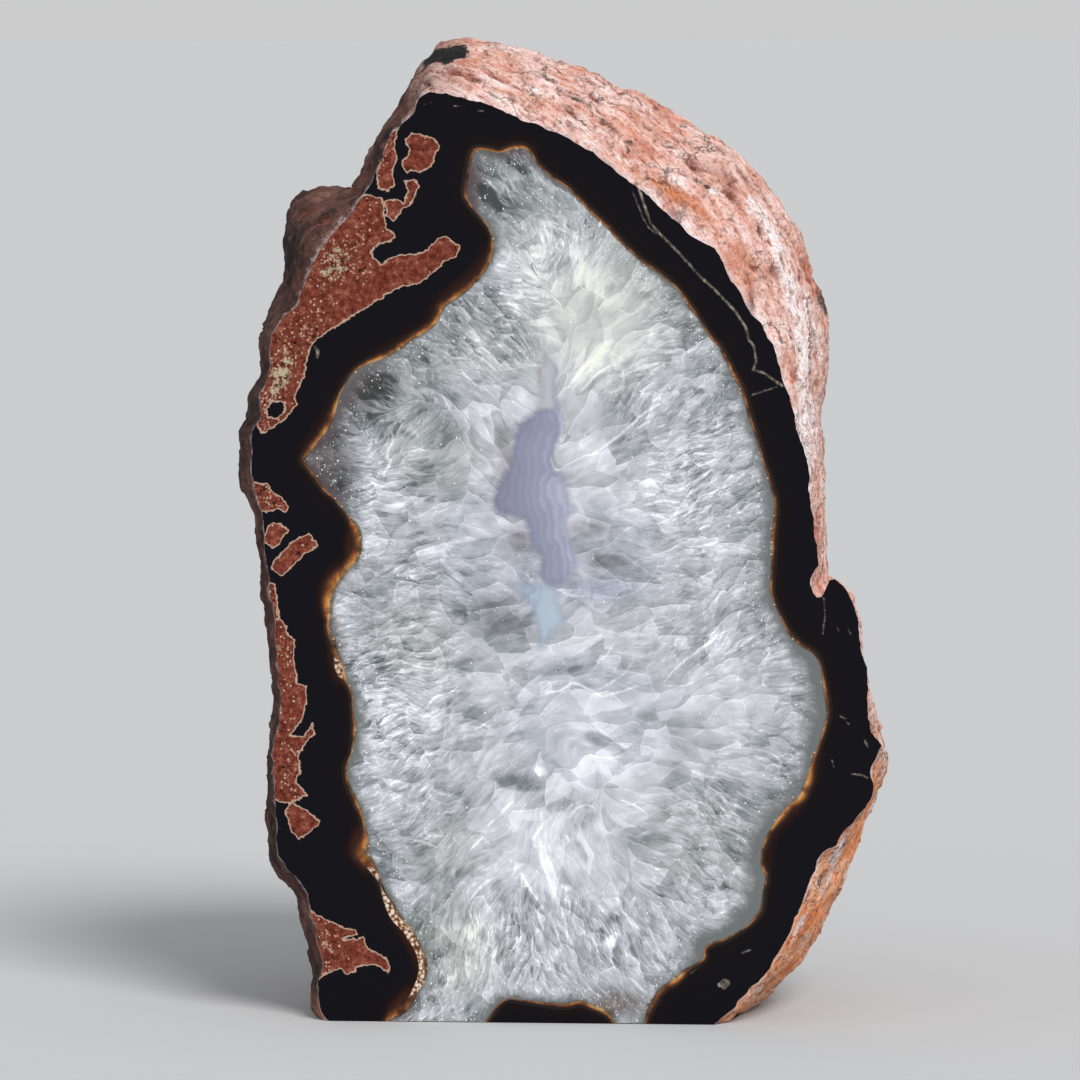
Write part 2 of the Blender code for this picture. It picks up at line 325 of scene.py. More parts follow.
def depth_inside(places: Places, ring: Places, exact_within: float = 3.0, step: float = 2.0) -> Field:
    """How far inside a closed ring each place lies, and below zero outside it.

    Args:
        places: The places, one row each.
        ring: The ring's points, one row each.
        exact_within: How near the ring the distances are exact. Farther off they are read from a rough grid.
        step: The rough grid's cell.

    Returns:
        The signed distances.
    """
    def exact(some: Places) -> Field:
        return np.where(within(some, ring), 1.0, -1.0) * off_line(some, ring, closed=True)

    low, high = places.min(axis=0) - step, places.max(axis=0) + 2 * step
    u, v = np.arange(low[0], high[0], step), np.arange(low[1], high[1], step)
    if len(places) < len(u) * len(v):
        return exact(places)
    rough = FaceGrid((low[0], low[1]), (high[0], high[1]), step)
    x, z = np.meshgrid(rough.x, rough.z)
    depths = rough.read(exact(np.stack([x.ravel(), z.ravel()], axis=1)).reshape(x.shape), places)
    near = np.abs(depths) < exact_within
    depths[near] = exact(places[near])
    return depths


# The setting of each kind of node that a word after its name stands for
OPTION_OF = {
    "Math": "operation",
    "VectorMath": "operation",
    "Mix": "blend_type",
    "TexVoronoi": "feature",
    "MapRange": "interpolation_type",
}


class Finish:
    """A node material in the making."""

    def __init__(self, name: str, carried: str = "") -> None:
        """Starts the material.

        Args:
            name: Its name.
            carried: The names of what the mesh's points carry for it, with spaces between.
        """
        self.material = bpy.data.materials.new(name)
        self.material.use_nodes = True
        self.tree = self.material.node_tree
        self.shader = self.tree.nodes["Principled BSDF"]
        self.place = self.add("TexCoord", out="Object")
        self.carried = {key: self.add("Attribute", attribute_name=key, out="Fac") for key in carried.split()}

    def add(
        self,
        kind: str,
        *inputs: object,
        named: dict[str, object] | None = None,
        stops: list[tuple[float, str]] | None = None,
        out: str | int | None = None,
        **settings: object,
    ) -> Socket:
        """Adds a node with its settings and links.

        Args:
            kind: The node's type, without the word ShaderNode, and its option from OPTION_OF after a space.
            *inputs: What its first inputs get, in order: another node's output, or a value.
            named: What further inputs get, by name.
            stops: A colour ramp's places and hex colours.
            out: The wanted output, where it isn't the first.
            **settings: The node's own properties.

        Returns:
            The wanted output.
        """
        kind, _, option = kind.partition(" ")
        node = self.tree.nodes.new("ShaderNode" + kind)
        if kind == "Mix":
            node.data_type = "RGBA"
        if option:
            settings[OPTION_OF[kind]] = option
        for name, value in settings.items():
            setattr(node, name, value)
        if stops:
            elements = node.color_ramp.elements
            while len(elements) < len(stops):
                elements.new(1.0)
            for element, (place, colour) in zip(elements, stops):
                element.position = place
                element.color = linear(colour)
        given = list(zip([socket for socket in node.inputs if socket.enabled], inputs))
        given += [(node.inputs[name], value) for name, value in (named or {}).items()]
        for socket, value in given:
            if isinstance(value, bpy.types.NodeSocket):
                self.tree.links.new(value, socket)
            else:
                socket.default_value = value
        return next(socket for socket in node.outputs if socket.enabled) if out is None else node.outputs[out]

    def finished(self, colour: Socket, **constants: float) -> bpy.types.Material:
        """Ends the material.

        Args:
            colour: Its colour all over.
            **constants: The shader's own values, with an underscore for each space in a name.

        Returns:
            The material.
        """
        self.tree.links.new(colour, self.shader.inputs["Base Color"])
        for name, value in constants.items():
            self.shader.inputs[name.replace("_", " ")].default_value = value
        return self.material


def new_piece(
    name: str,
    points: Places,
    faces: list,
    material: bpy.types.Material,
    slot: Slot,
    measures: dict[str, Field],
    smooth: bool,
) -> bpy.types.Object:
    """Makes a piece of the stone, which rides on the stone's body.

    Args:
        name: The piece's name.
        points: Its points in millimetres, one row each.
        faces: The point numbers of each face.
        material: Its finish.
        slot: The material slot that the finish belongs to. Not used.
        measures: What each point carries for the finish, by name.
        smooth: Whether the faces are shaded as one smooth surface.

    Returns:
        The piece.
    """
    mesh = bpy.data.meshes.new(name)
    mesh.from_pydata((np.asarray(points) * METRES_PER_MM).tolist(), [], faces)
    mesh.update()
    mesh.polygons.foreach_set("use_smooth", np.full(len(mesh.polygons), smooth))
    for key, values in measures.items():
        mesh.attributes.new(key, "FLOAT", "POINT").data.foreach_set("value", np.asarray(values, np.float32))
    mesh.materials.append(material)
    piece = bpy.data.objects.new(name, mesh)
    bpy.context.scene.collection.objects.link(piece)
    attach(piece, ROOT_BODY)
    LOG.info("%s: %d points, %d faces", name, len(mesh.vertices), len(mesh.polygons))
    return piece


@dataclass(frozen=True)
class Sight:
    """The long view that the outlines were read by. The camera looks the same way."""

    distance: float = 1500.0
    azimuth: float = math.radians(5.0)
    elevation: float = math.radians(5.0)
    roll: float = math.radians(0.27)
    target: tuple[float, float, float] = (-3.9, FACE_Y, 122.1)
    picture_middle: float = 540.0
    points_per_mm: float = 4.0
    sensor_width: float = 36.0

    def axes(self) -> tuple[Vector, Vector, Vector]:
        """The right, up and forward directions."""
        level = math.cos(self.elevation)
        forward = Vector((
            -math.sin(self.azimuth) * level,
            math.cos(self.azimuth) * level,
            -math.sin(self.elevation),
        ))
        right = Vector((math.cos(self.azimuth), math.sin(self.azimuth), 0.0))
        turn = Matrix.Rotation(self.roll, 3, forward)
        return turn @ right, turn @ right.cross(forward), forward

    def eye(self) -> Vector:
        """The eye's place."""
        return Vector(self.target) - self.axes()[2] * self.distance

    def on_plane(self, points: Places, y: float) -> Places:
        """Where the lines of sight through picture points meet an upright plane.

        Args:
            points: The picture points, one row each.
            y: Where the plane stands.

        Returns:
            The places as x and z, one row each.
        """
        right, up, forward = (np.array(a) for a in self.axes())
        points = np.asarray(points, float)
        across = (points[:, :1] - self.picture_middle) / self.points_per_mm
        rise = (self.picture_middle - points[:, 1:2]) / self.points_per_mm
        ways = forward * self.distance + across * right + rise * up
        eye = np.array(self.eye())
        places = eye + ways * ((y - eye[1]) / ways[:, 1:2])
        return places[:, [0, 2]]

    def pictured(self, places: Places) -> Places:
        """The picture points at which some places are seen.

        Args:
            places: The places as x, y and z, one row each.

        Returns:
            The picture points, one row each.
        """
        right, up, forward = (np.array(a) for a in self.axes())
        way = places - np.array(self.eye())
        scale = self.distance * self.points_per_mm / (way @ forward)
        return self.picture_middle + np.stack([(way @ right) * scale, -(way @ up) * scale], axis=1)

    def on_face(self, points: Places) -> Places:
        """Where the lines of sight through picture points meet the polished face, as x and z."""
        return self.on_plane(points, FACE_Y)

    def camera(self) -> bpy.types.Object:
        """Makes the camera that sees what the eye sees."""
        data = bpy.data.cameras.new("long_lens")
        width = 2 * self.picture_middle / self.points_per_mm
        data.sensor_width = self.sensor_width
        data.lens = self.sensor_width * self.distance / width
        camera = bpy.data.objects.new("long_lens", data)
        right, up, forward = self.axes()
        turn = Matrix((right, up, -forward)).transposed().to_4x4()
        camera.matrix_world = Matrix.Translation(self.eye() * METRES_PER_MM) @ turn
        bpy.context.scene.collection.objects.link(camera)
        bpy.context.scene.camera = camera
        return camera


@dataclass
class Lattice:
    """Smooth seeded noise over the plane, as a sum of ever finer bumps."""

    seed: int
    size: int = 256

    def __post_init__(self) -> None:
        """Draws the lattice's values."""
        self.values = np.random.default_rng(self.seed).uniform(-1.0, 1.0, (self.size, self.size))

    def at(self, x: Field, z: Field, length: float, octaves: int = 1) -> Field:
        """The noise at some places.

        Args:
            x: The places' x in millimetres.
            z: The places' z in millimetres.
            length: How far apart the coarsest bumps lie.
            octaves: How many sums, each half as long and half as high as the last.

        Returns:
            Values mostly between -1 and 1.
        """
        total = np.zeros(np.broadcast(x, z).shape)
        for octave in range(octaves):
            step = length / 2**octave
            u, v = np.asarray(x) / step + 17.3 * octave, np.asarray(z) / step + 5.9 * octave
            i, j = np.floor(u).astype(int), np.floor(v).astype(int)
            s, t = ease(u - i, 0.0, 1.0), ease(v - j, 0.0, 1.0)
            i0, i1 = i % self.size, (i + 1) % self.size
            j0, j1 = j % self.size, (j + 1) % self.size
            low = self.values[i0, j0] * (1 - s) + self.values[i1, j0] * s
            high = self.values[i0, j1] * (1 - s) + self.values[i1, j1] * s
            total = total + (low * (1 - t) + high * t) / 2**octave
        return total


@dataclass
class FaceGrid:
    """A grid of fine cells over the polished face, on which the quartz's milk and lean are worked out and marks are
    drawn.
    """

    low: tuple[float, float] = (-88.0, -6.0)
    high: tuple[float, float] = (88.0, 250.0)
    cell: float = 0.25

    def __post_init__(self) -> None:
        """Works out the cells' places."""
        self.x = np.arange(self.low[0], self.high[0], self.cell)
        self.z = np.arange(self.low[1], self.high[1], self.cell)

    def blank(self, value: float = 0.0) -> Field:
        """A field with the same value in every cell."""
        return np.full((len(self.z), len(self.x)), value)

    def window(self, centre: Places, reach: float) -> tuple[slice, slice, Field, Field]:
        """The cells within reach of a place.

        Args:
            centre: The place, as x and z.
            reach: How far the window reaches to each side.

        Returns:
            The rows, the columns, and each cell's x and z from the centre.
        """
        column = int((centre[0] - self.low[0]) / self.cell)
        row = int((centre[1] - self.low[1]) / self.cell)
        span = int(reach / self.cell) + 1
        rows = slice(max(row - span, 0), max(row + span + 1, 0))
        columns = slice(max(column - span, 0), max(column + span + 1, 0))
        return rows, columns, self.x[columns][None, :] - centre[0], self.z[rows][:, None] - centre[1]

    def read(self, values: Field, places: Places) -> Field:
        """What a field holds at some places, between its cells' middles too.

        Args:
            values: The field.
            places: The places as x and z, one row each.

        Returns:
            The field's value at each place.
        """
        u = np.clip((places[:, 0] - self.low[0]) / self.cell, 0, len(self.x) - 1.001)
        v = np.clip((places[:, 1] - self.low[1]) / self.cell, 0, len(self.z) - 1.001)
        i, j = u.astype(int), v.astype(int)
        s, t = u - i, v - j
        low = values[j, i] * (1 - s) + values[j, i + 1] * s
        high = values[j + 1, i] * (1 - s) + values[j + 1, i + 1] * s
        return low * (1 - t) + high * t

    def spread(self, ring: Places) -> Field:
        """How far inside a ring each cell lies."""
        x, z = np.meshgrid(self.x, self.z)
        return depth_inside(np.stack([x.ravel(), z.ravel()], axis=1), ring, exact_within=0.0).reshape(x.shape)

    def marked(self, marks: list["Mark"], sight: Sight) -> Field:
        """Draws marks over a blank field.

        Args:
            marks: The marks.
            sight: The view that they were placed by.

        Returns:
            The field.
        """
        drawn = self.blank()
        for mark in marks:
            centre = sight.on_face([mark.at])[0]
            reach = max(mark.half_long, mark.half_wide) / sight.points_per_mm * 1.6
            rows, columns, dx, dz = self.window(centre, reach)
            drawn[rows, columns] += mark.cover(dx * sight.points_per_mm, dz * sight.points_per_mm)
        return drawn


@dataclass(frozen=True)
class Mark:
    """One soft-edged patch in the quartz: a clear window, a white veil or a bright flaw.

    at, half_long and half_wide are in picture points, and lean is in degrees up from the right. crisp is 1
    for a patch whose upper side ends sharply, -1 for its lower side, and 0 for soft sides all round.
    """

    at: tuple[float, float]
    half_long: float
    half_wide: float
    lean: float
    lift: float
    crisp: int = 0

    def cover(self, across: Field, rise: Field) -> Field:
        """What the mark adds at some places.

        Args:
            across: How far right of the mark's middle each place lies, in picture points.
            rise: How far above it.

        Returns:
            The mark's lift where it covers, fading to 0 at its edge.
        """
        lean = math.radians(self.lean)
        u = (across * math.cos(lean) + rise * math.sin(lean)) / self.half_long
        v = (rise * math.cos(lean) - across * math.sin(lean)) / self.half_wide
        soft = np.where(v * self.crisp > 0, 0.25, 0.8) if self.crisp else 0.7
        return self.lift * (1.0 - ease(np.hypot(u, v), 1.0 - soft, 1.0 + 0.3 * soft))


def marks(*rows: tuple[float, ...]) -> list[Mark]:
    """Marks from rows that hold the mark's place and then its other fields in order."""
    return [Mark(row[:2], *row[2:]) for row in rows]


# Clear grey windows, white veils and bright flaws that stand out in the quartz
MARKS = marks(
    (489, 200, 19, 10, -55, -0.34, 1), (520, 163, 16, 9, -30, -0.26, -1), (526, 182, 12, 8, -60, -0.14),
    (500, 166, 10, 7, -40, 0.10), (536, 256, 7, 2.6, 0, 0.30), (577, 253, 10, 3.2, 72, 0.26),
    (581, 237, 6, 4, 60, 0.16), (600, 300, 60, 40, 35, -0.05), (548, 333, 18, 9, -38, 0.20, 1),
    (592, 365, 34, 9, 52, 0.26, 1), (628, 352, 44, 6, 36, 0.13, -1), (596, 318, 30, 12, 22, -0.08, -1),
    (408, 436, 9, 5, -20, -0.15, 1), (436, 450, 34, 18, 74, -0.10), (430, 500, 7, 3.5, 12, -0.30, 1),
    (412, 487, 12, 5, 20, -0.10, 1), (480, 480, 18, 12, 60, 0.14, -1), (452, 530, 20, 7, -12, -0.12, 1),
    (476, 534, 16, 6, -30, -0.10, -1), (398, 505, 10, 4, 0, 0.26), (455, 573, 22, 4, -2, -0.14, -1),
    (458, 610, 12, 8, -50, -0.20, 1), (476, 598, 20, 8, -20, -0.12), (402, 612, 20, 8, 50, -0.07),
    (424, 660, 14, 4, 22, -0.14, 1), (465, 662, 26, 4, 8, -0.14, 1), (500, 618, 28, 20, -50, -0.12),
    (520, 541, 19, 13, -50, -0.10), (619, 440, 15, 3, 24, -0.16, 1), (669, 453, 12, 6, 15, -0.16, -1),
    (701, 466, 9, 2.4, 0, -0.24, 1), (656, 518, 14, 4, -20, 0.20, 1), (656, 482, 18, 9, 10, 0.12, 1),
    (588, 530, 22, 10, -6, -0.13), (606, 561, 26, 8, -4, -0.12), (574, 470, 14, 12, 40, -0.12),
    (575, 604, 12, 6, -20, -0.12, 1), (640, 690, 30, 8, 20, -0.08, 1), (560, 668, 26, 8, 6, -0.16, -1),
    (604, 744, 24, 9, -24, -0.30, 1), (600, 770, 60, 30, 10, 0.10), (518, 782, 28, 10, -10, -0.26, -1),
    (541, 771, 9, 5, -30, 0.26), (474, 712, 22, 8, 26, -0.16, -1), (480, 738, 17, 3, 8, -0.16, 1),
    (515, 735, 14, 3, 14, -0.14, 1), (648, 715, 13, 7, -6, -0.15, -1), (672, 768, 20, 8, -18, -0.12, 1),
    (731, 786, 20, 8, -8, -0.14, 1), (656, 840, 18, 8, 2, -0.18, 1), (586, 822, 15, 9, 30, -0.14, 1),
    (616, 916, 12, 9, 60, -0.16, 1), (700, 866, 9, 6, 10, -0.16, -1), (709, 905, 11, 5, -60, -0.20, 1),
    (694, 890, 11, 7, 0, 0.20), (567, 888, 7, 3.6, -16, 0.34), (611, 943, 6, 7, 60, 0.28),
    (603, 934, 4, 10, 10, -0.26, 1), (548, 868, 34, 6, -72, 0.24, 1), (580, 852, 14, 6, -64, -0.22, 1),
    (531, 896, 20, 4.5, -52, -0.18, -1), (497, 885, 9, 6, 50, -0.18, 1), (564, 878, 14, 6, -60, -0.12, -1),
    (486, 850, 30, 4, 34, -0.14, 1), (470, 868, 32, 4, 30, -0.12, -1), (418, 845, 12, 8, 10, -0.12, 1),
    (442, 822, 14, 9, 20, -0.12, 1), (500, 940, 20, 8, 10, -0.12, 1), (455, 935, 30, 24, 0, 0.10),
)

# Broad veils and shades, several crystals wide
VEILS = marks(
    (505, 185, 40, 50, 60, -0.16), (545, 262, 70, 56, 20, 0.13), (600, 315, 90, 60, 40, 0.25),
    (395, 395, 60, 46, 30, -0.20), (602, 505, 44, 44, 0, 0.09), (550, 850, 70, 80, 90, 0.08),
    (690, 640, 90, 50, 20, -0.07), (690, 420, 60, 60, 20, -0.04), (592, 735, 70, 52, 20, 0.14),
    (560, 760, 110, 70, 0, 0.04), (545, 860, 60, 100, 90, 0.08), (600, 300, 110, 80, 40, -0.03),
    (330, 460, 36, 52, 0, -0.22), (360, 400, 50, 30, 40, -0.14), (440, 470, 60, 60, 0, -0.08),
    (470, 545, 70, 20, 0, 0.03), (500, 620, 60, 36, 0, -0.10), (600, 470, 50, 60, 0, -0.02),
    (690, 490, 80, 60, 20, 0.07), (640, 590, 90, 40, 0, 0.02), (700, 660, 100, 60, 20, 0.06),
    (430, 840, 60, 70, 30, -0.09), (400, 620, 60, 70, 0, -0.10), (700, 860, 80, 80, 0, -0.05),
    (450, 960, 50, 60, 60, 0.03), (760, 780, 50, 60, 60, -0.05), (620, 1000, 90, 24, 0, -0.08),
    (500, 200, 50, 60, 60, -0.05), (385, 735, 36, 40, 0, 0.08),
)

# Where the quartz is smooth, with few fibres, and where it is combed the most
CALM = marks(
    (600, 300, 90, 60, 40, -0.6), (560, 480, 60, 110, 0, -0.45), (600, 740, 80, 60, 10, -0.4),
    (720, 730, 110, 80, 5, -0.4), (690, 860, 70, 60, 0, -0.3), (540, 620, 90, 50, 0, -0.2),
    (330, 460, 30, 50, 0, -0.6), (380, 400, 50, 36, 35, -0.2), (490, 340, 50, 50, 0, 0.25),
    (700, 480, 90, 70, 15, 0.3), (420, 720, 60, 90, 0, 0.3), (600, 930, 140, 50, 0, 0.3),
)

# Where the quartz is greenish grey, where smoky brown shows through, and where it is lilac
GREEN_TINTS = marks(
    (520, 215, 60, 60, 0, 0.6), (400, 380, 60, 40, 30, 0.5), (470, 340, 60, 50, 0, 0.5),
    (600, 310, 120, 95, 35, 0.9), (430, 450, 46, 60, 70, 0.6), (415, 640, 50, 60, 60, 0.45),
    (452, 950, 60, 60, 60, 0.85), (700, 840, 90, 90, 30, 0.3), (450, 850, 70, 50, 30, 0.35),
)
SMOKY_TINTS = marks(
    (326, 462, 30, 60, 5, 1.0), (474, 185, 34, 14, 80, 0.9), (512, 152, 34, 10, 0, 0.8),
    (362, 392, 46, 24, 35, 0.75), (586, 527, 30, 12, -4, 0.45), (602, 560, 34, 10, -4, 0.4),
    (515, 540, 22, 20, -50, 0.6), (500, 610, 30, 24, -50, 0.35), (505, 450, 9, 44, 0, 0.5),
    (335, 640, 14, 40, 8, 0.5), (620, 1003, 30, 16, 0, 1.1), (404, 1004, 22, 16, 50, 1.2),
)
LILAC_TINTS = marks(
    (580, 560, 90, 60, 0, 0.5), (500, 560, 70, 90, 0, 0.35), (592, 720, 90, 70, 0, 0.3),
    (560, 668, 30, 12, 6, 0.6), (600, 590, 60, 14, 0, 0.6),
)

# Where the rust line swells, in picture points, with how much wider it gets
RUST_SWELLS = marks(
    (462, 285, 60, 16, 48, 1.5), (400, 345, 50, 12, 28, 0.7), (320, 430, 44, 12, 58, 0.9),
    (760, 500, 120, 16, -80, 0.3), (600, 1003, 60, 10, 0, 0.5),
    (356, 548, 34, 13, 85, 2.8), (336, 590, 30, 18, 75, 3.0), (336, 645, 34, 8, 75, 1.2),
    (341, 668, 24, 10, 70, 1.4), (364, 850, 26, 16, -70, 3.4), (408, 935, 62, 12, -66, 1.6),
    (402, 1004, 24, 14, 60, 2.6), (620, 1004, 30, 14, -10, 2.4), (798, 795, 46, 12, 60, 1.8),
    (770, 850, 34, 8, 80, 0.9), (822, 705, 36, 8, 90, 0.5), (665, 985, 34, 8, 40, 0.9),
    (514, 147, 34, 7, 0, 0.7),
)

# Where the grey border inside the rust line is broader or narrower
BORDER_SWELLS = marks(
    (600, 240, 110, 30, -50, -0.75), (700, 330, 50, 24, -55, -0.5), (450, 310, 60, 20, 40, -0.6),
    (775, 540, 90, 24, 90, 0.7), (815, 690, 90, 40, 90, 1.6), (760, 880, 80, 34, 80, 1.5),
    (720, 935, 50, 30, 25, 1.2), (790, 800, 50, 30, 40, 0.8), (350, 400, 60, 30, 60, 0.9),
    (470, 190, 44, 20, 80, 0.3), (355, 730, 60, 24, 88, 0.4), (640, 1000, 60, 24, 20, -0.3),
)

# Where the rust line is a crust of beads, with how many millimetres the crust is thick each way
CRUST = marks(
    (378, 868, 14, 12, -60, 1.3), (396, 882, 18, 12, -20, 1.9), (396, 915, 34, 12, -62, 1.5),
    (416, 955, 34, 10, -82, 1.4), (418, 985, 20, 9, 70, 1.2), (340, 665, 24, 9, 72, 1.3),
)

# Where the red-brown rock is rotten and peppered with cream
CREAM_SPECKS = marks(
    (335, 262, 34, 20, 60, 1.1), (360, 240, 22, 12, 60, 0.5), (356, 275, 26, 14, 30, 0.45),
    (298, 340, 60, 22, 60, 0.75), (276, 395, 44, 20, 75, 1.0), (372, 205, 22, 14, 80, 0.5),
    (388, 150, 40, 10, 75, 0.6), (268, 500, 30, 20, 90, 0.7), (285, 640, 60, 14, 90, 0.6),
    (290, 760, 50, 16, 90, 0.6), (325, 945, 40, 22, 70, 0.7),
)

# White seams between crystals, in picture points, each with its half width in millimetres and its lift
VEINS = [
    (0.22, 0.29, [(484, 178), (493, 186), (501, 195), (503, 199)]),
    (0.25, 0.26, [(500, 175), (506, 185), (510, 196), (516, 206)]),
    (0.40, 0.29, [(390, 429), (393, 437), (390, 447), (387, 457), (391, 462), (385, 472), (383, 483)]),
    (0.25, 0.22, [(412, 447), (427, 451)]), (0.22, 0.29, [(442, 395), (452, 413)]),
    (0.36, 0.31, [(461, 370), (470, 380), (480, 388)]), (0.22, 0.26, [(445, 356), (460, 372)]),
    (0.22, 0.29, [(412, 375), (417, 381)]), (0.22, 0.29, [(389, 396), (396, 400)]),
    (0.32, 0.27, [(583, 456), (596, 453), (604, 447), (617, 437), (631, 425), (647, 411), (667, 401)]),
    (0.50, 0.29, [(568, 388), (580, 372), (597, 356), (612, 348)]),
    (0.43, 0.24, [(580, 392), (600, 372), (618, 362)]),
    (0.25, 0.20, [(384, 672), (401, 660), (413, 653), (416, 647)]),
    (0.20, 0.22, [(465, 637), (452, 639), (444, 643), (462, 653)]),
    (0.32, 0.26, [(426, 707), (435, 698), (450, 692), (462, 690)]),
    (0.29, 0.26, [(475, 730), (495, 717), (498, 708)]), (0.22, 0.26, [(397, 790), (413, 782)]),
    (0.22, 0.24, [(380, 802), (388, 794), (394, 798)]), (0.25, 0.24, [(425, 825), (427, 835), (448, 836)]),
    (0.43, 0.26, [(414, 840), (426, 843), (438, 848)]), (0.36, 0.29, [(470, 850), (485, 835)]),
    (0.32, 0.26, [(486, 828), (496, 818)]),
    (0.36, 0.29, [(541, 696), (552, 692), (562, 690), (574, 683), (590, 690), (605, 698)]),
    (0.20, 0.20, [(596, 726), (616, 742), (634, 749)]), (0.20, 0.20, [(592, 756), (606, 758), (622, 756)]),
    (0.65, 0.34, [(536, 767), (541, 778)]), (0.22, 0.22, [(570, 815), (582, 806), (592, 806), (598, 812)]),
    (0.32, 0.26, [(500, 815), (508, 806), (515, 800)]), (0.36, 0.29, [(533, 840), (540, 829), (545, 820)]),
    (0.25, 0.31, [(710, 494), (722, 488), (736, 483)]), (0.20, 0.27, [(716, 496), (733, 492)]),
    (0.29, 0.29, [(650, 503), (666, 501), (686, 504)]), (0.25, 0.26, [(651, 515), (668, 518)]),
    (0.30, 0.26, [(664, 682), (673, 671), (682, 663), (695, 653), (709, 643), (720, 634), (740, 626)]),
    (0.22, 0.20, [(664, 685), (680, 686), (700, 680)]), (0.25, 0.20, [(600, 660), (608, 653), (614, 643)]),
    (0.25, 0.20, [(600, 697), (620, 692), (640, 685), (655, 680)]),
    (0.25, 0.19, [(633, 660), (626, 672), (609, 684), (592, 693)]),
    (0.22, 0.22, [(513, 586), (542, 586), (560, 590), (572, 596), (588, 596), (605, 600)]),
    (0.18, 0.17, [(578, 589), (614, 598), (640, 589), (658, 568), (653, 557)]),
    (0.36, 0.29, [(540, 850), (546, 872), (556, 895)]), (0.29, 0.29, [(520, 872), (532, 892), (541, 905)]),
    (0.29, 0.27, [(560, 905), (566, 925), (568, 945)]), (0.29, 0.26, [(588, 930), (596, 945), (600, 962)]),
    (0.32, 0.26, [(470, 900), (484, 884), (498, 876)]), (0.25, 0.26, [(620, 800), (636, 806), (650, 816)]),
    (0.25, 0.24, [(640, 862), (656, 868), (668, 880)]), (0.25, 0.24, [(690, 770), (706, 776), (722, 778)]),
]

# Which way the crystals run at some picture points, in degrees up from the right
GRAIN = [
    ((495, 180), -58), ((525, 175), -50), ((505, 230), -60), ((545, 215), -70), ((580, 250), 72), ((520, 250), 15),
    ((470, 320), -42), ((500, 360), -40), ((445, 350), -40), ((548, 333), -45), ((600, 290), 45), ((592, 365), 52),
    ((632, 332), 32), ((680, 330), 28), ((690, 400), 20), ((735, 420), 12), ((625, 430), 36), ((700, 498), 18),
    ((760, 520), 8), ((650, 480), 12), ((620, 540), -2), ((700, 570), 8), ((770, 610), 14), ((700, 640), 36),
    ((610, 655), 38), ((780, 680), 12), ((740, 710), 12), ((660, 720), 4), ((672, 768), -16), ((731, 786), -10),
    ((790, 760), -6), ((650, 835), -12), ((720, 860), -28), ((700, 900), -40), ((660, 940), -55), ((620, 970), -70),
    ((605, 900), -58), ((580, 852), -62), ((563, 930), -80), ((537, 830), 84), ((545, 780), 60), ((500, 960), 74),
    ((470, 868), 36), ((490, 800), 42), ((435, 822), 26), ((430, 890), 48), ((450, 970), 62), ((380, 770), 14),
    ((385, 725), 8), ((474, 712), 26), ((540, 700), 15), ((590, 695), -20), ((465, 662), 10), ((424, 655), 20),
    ((370, 650), 8), ((410, 612), 24), ((455, 583), -6), ((390, 560), -10), ((452, 530), -14), ((480, 534), -24),
    ((425, 490), 14), ((340, 470), -14), ((395, 440), 60), ((440, 440), 60), ((380, 390), -30), ((480, 430), -40),
    ((350, 600), 2), ((370, 830), 18), ((400, 860), 30),
]


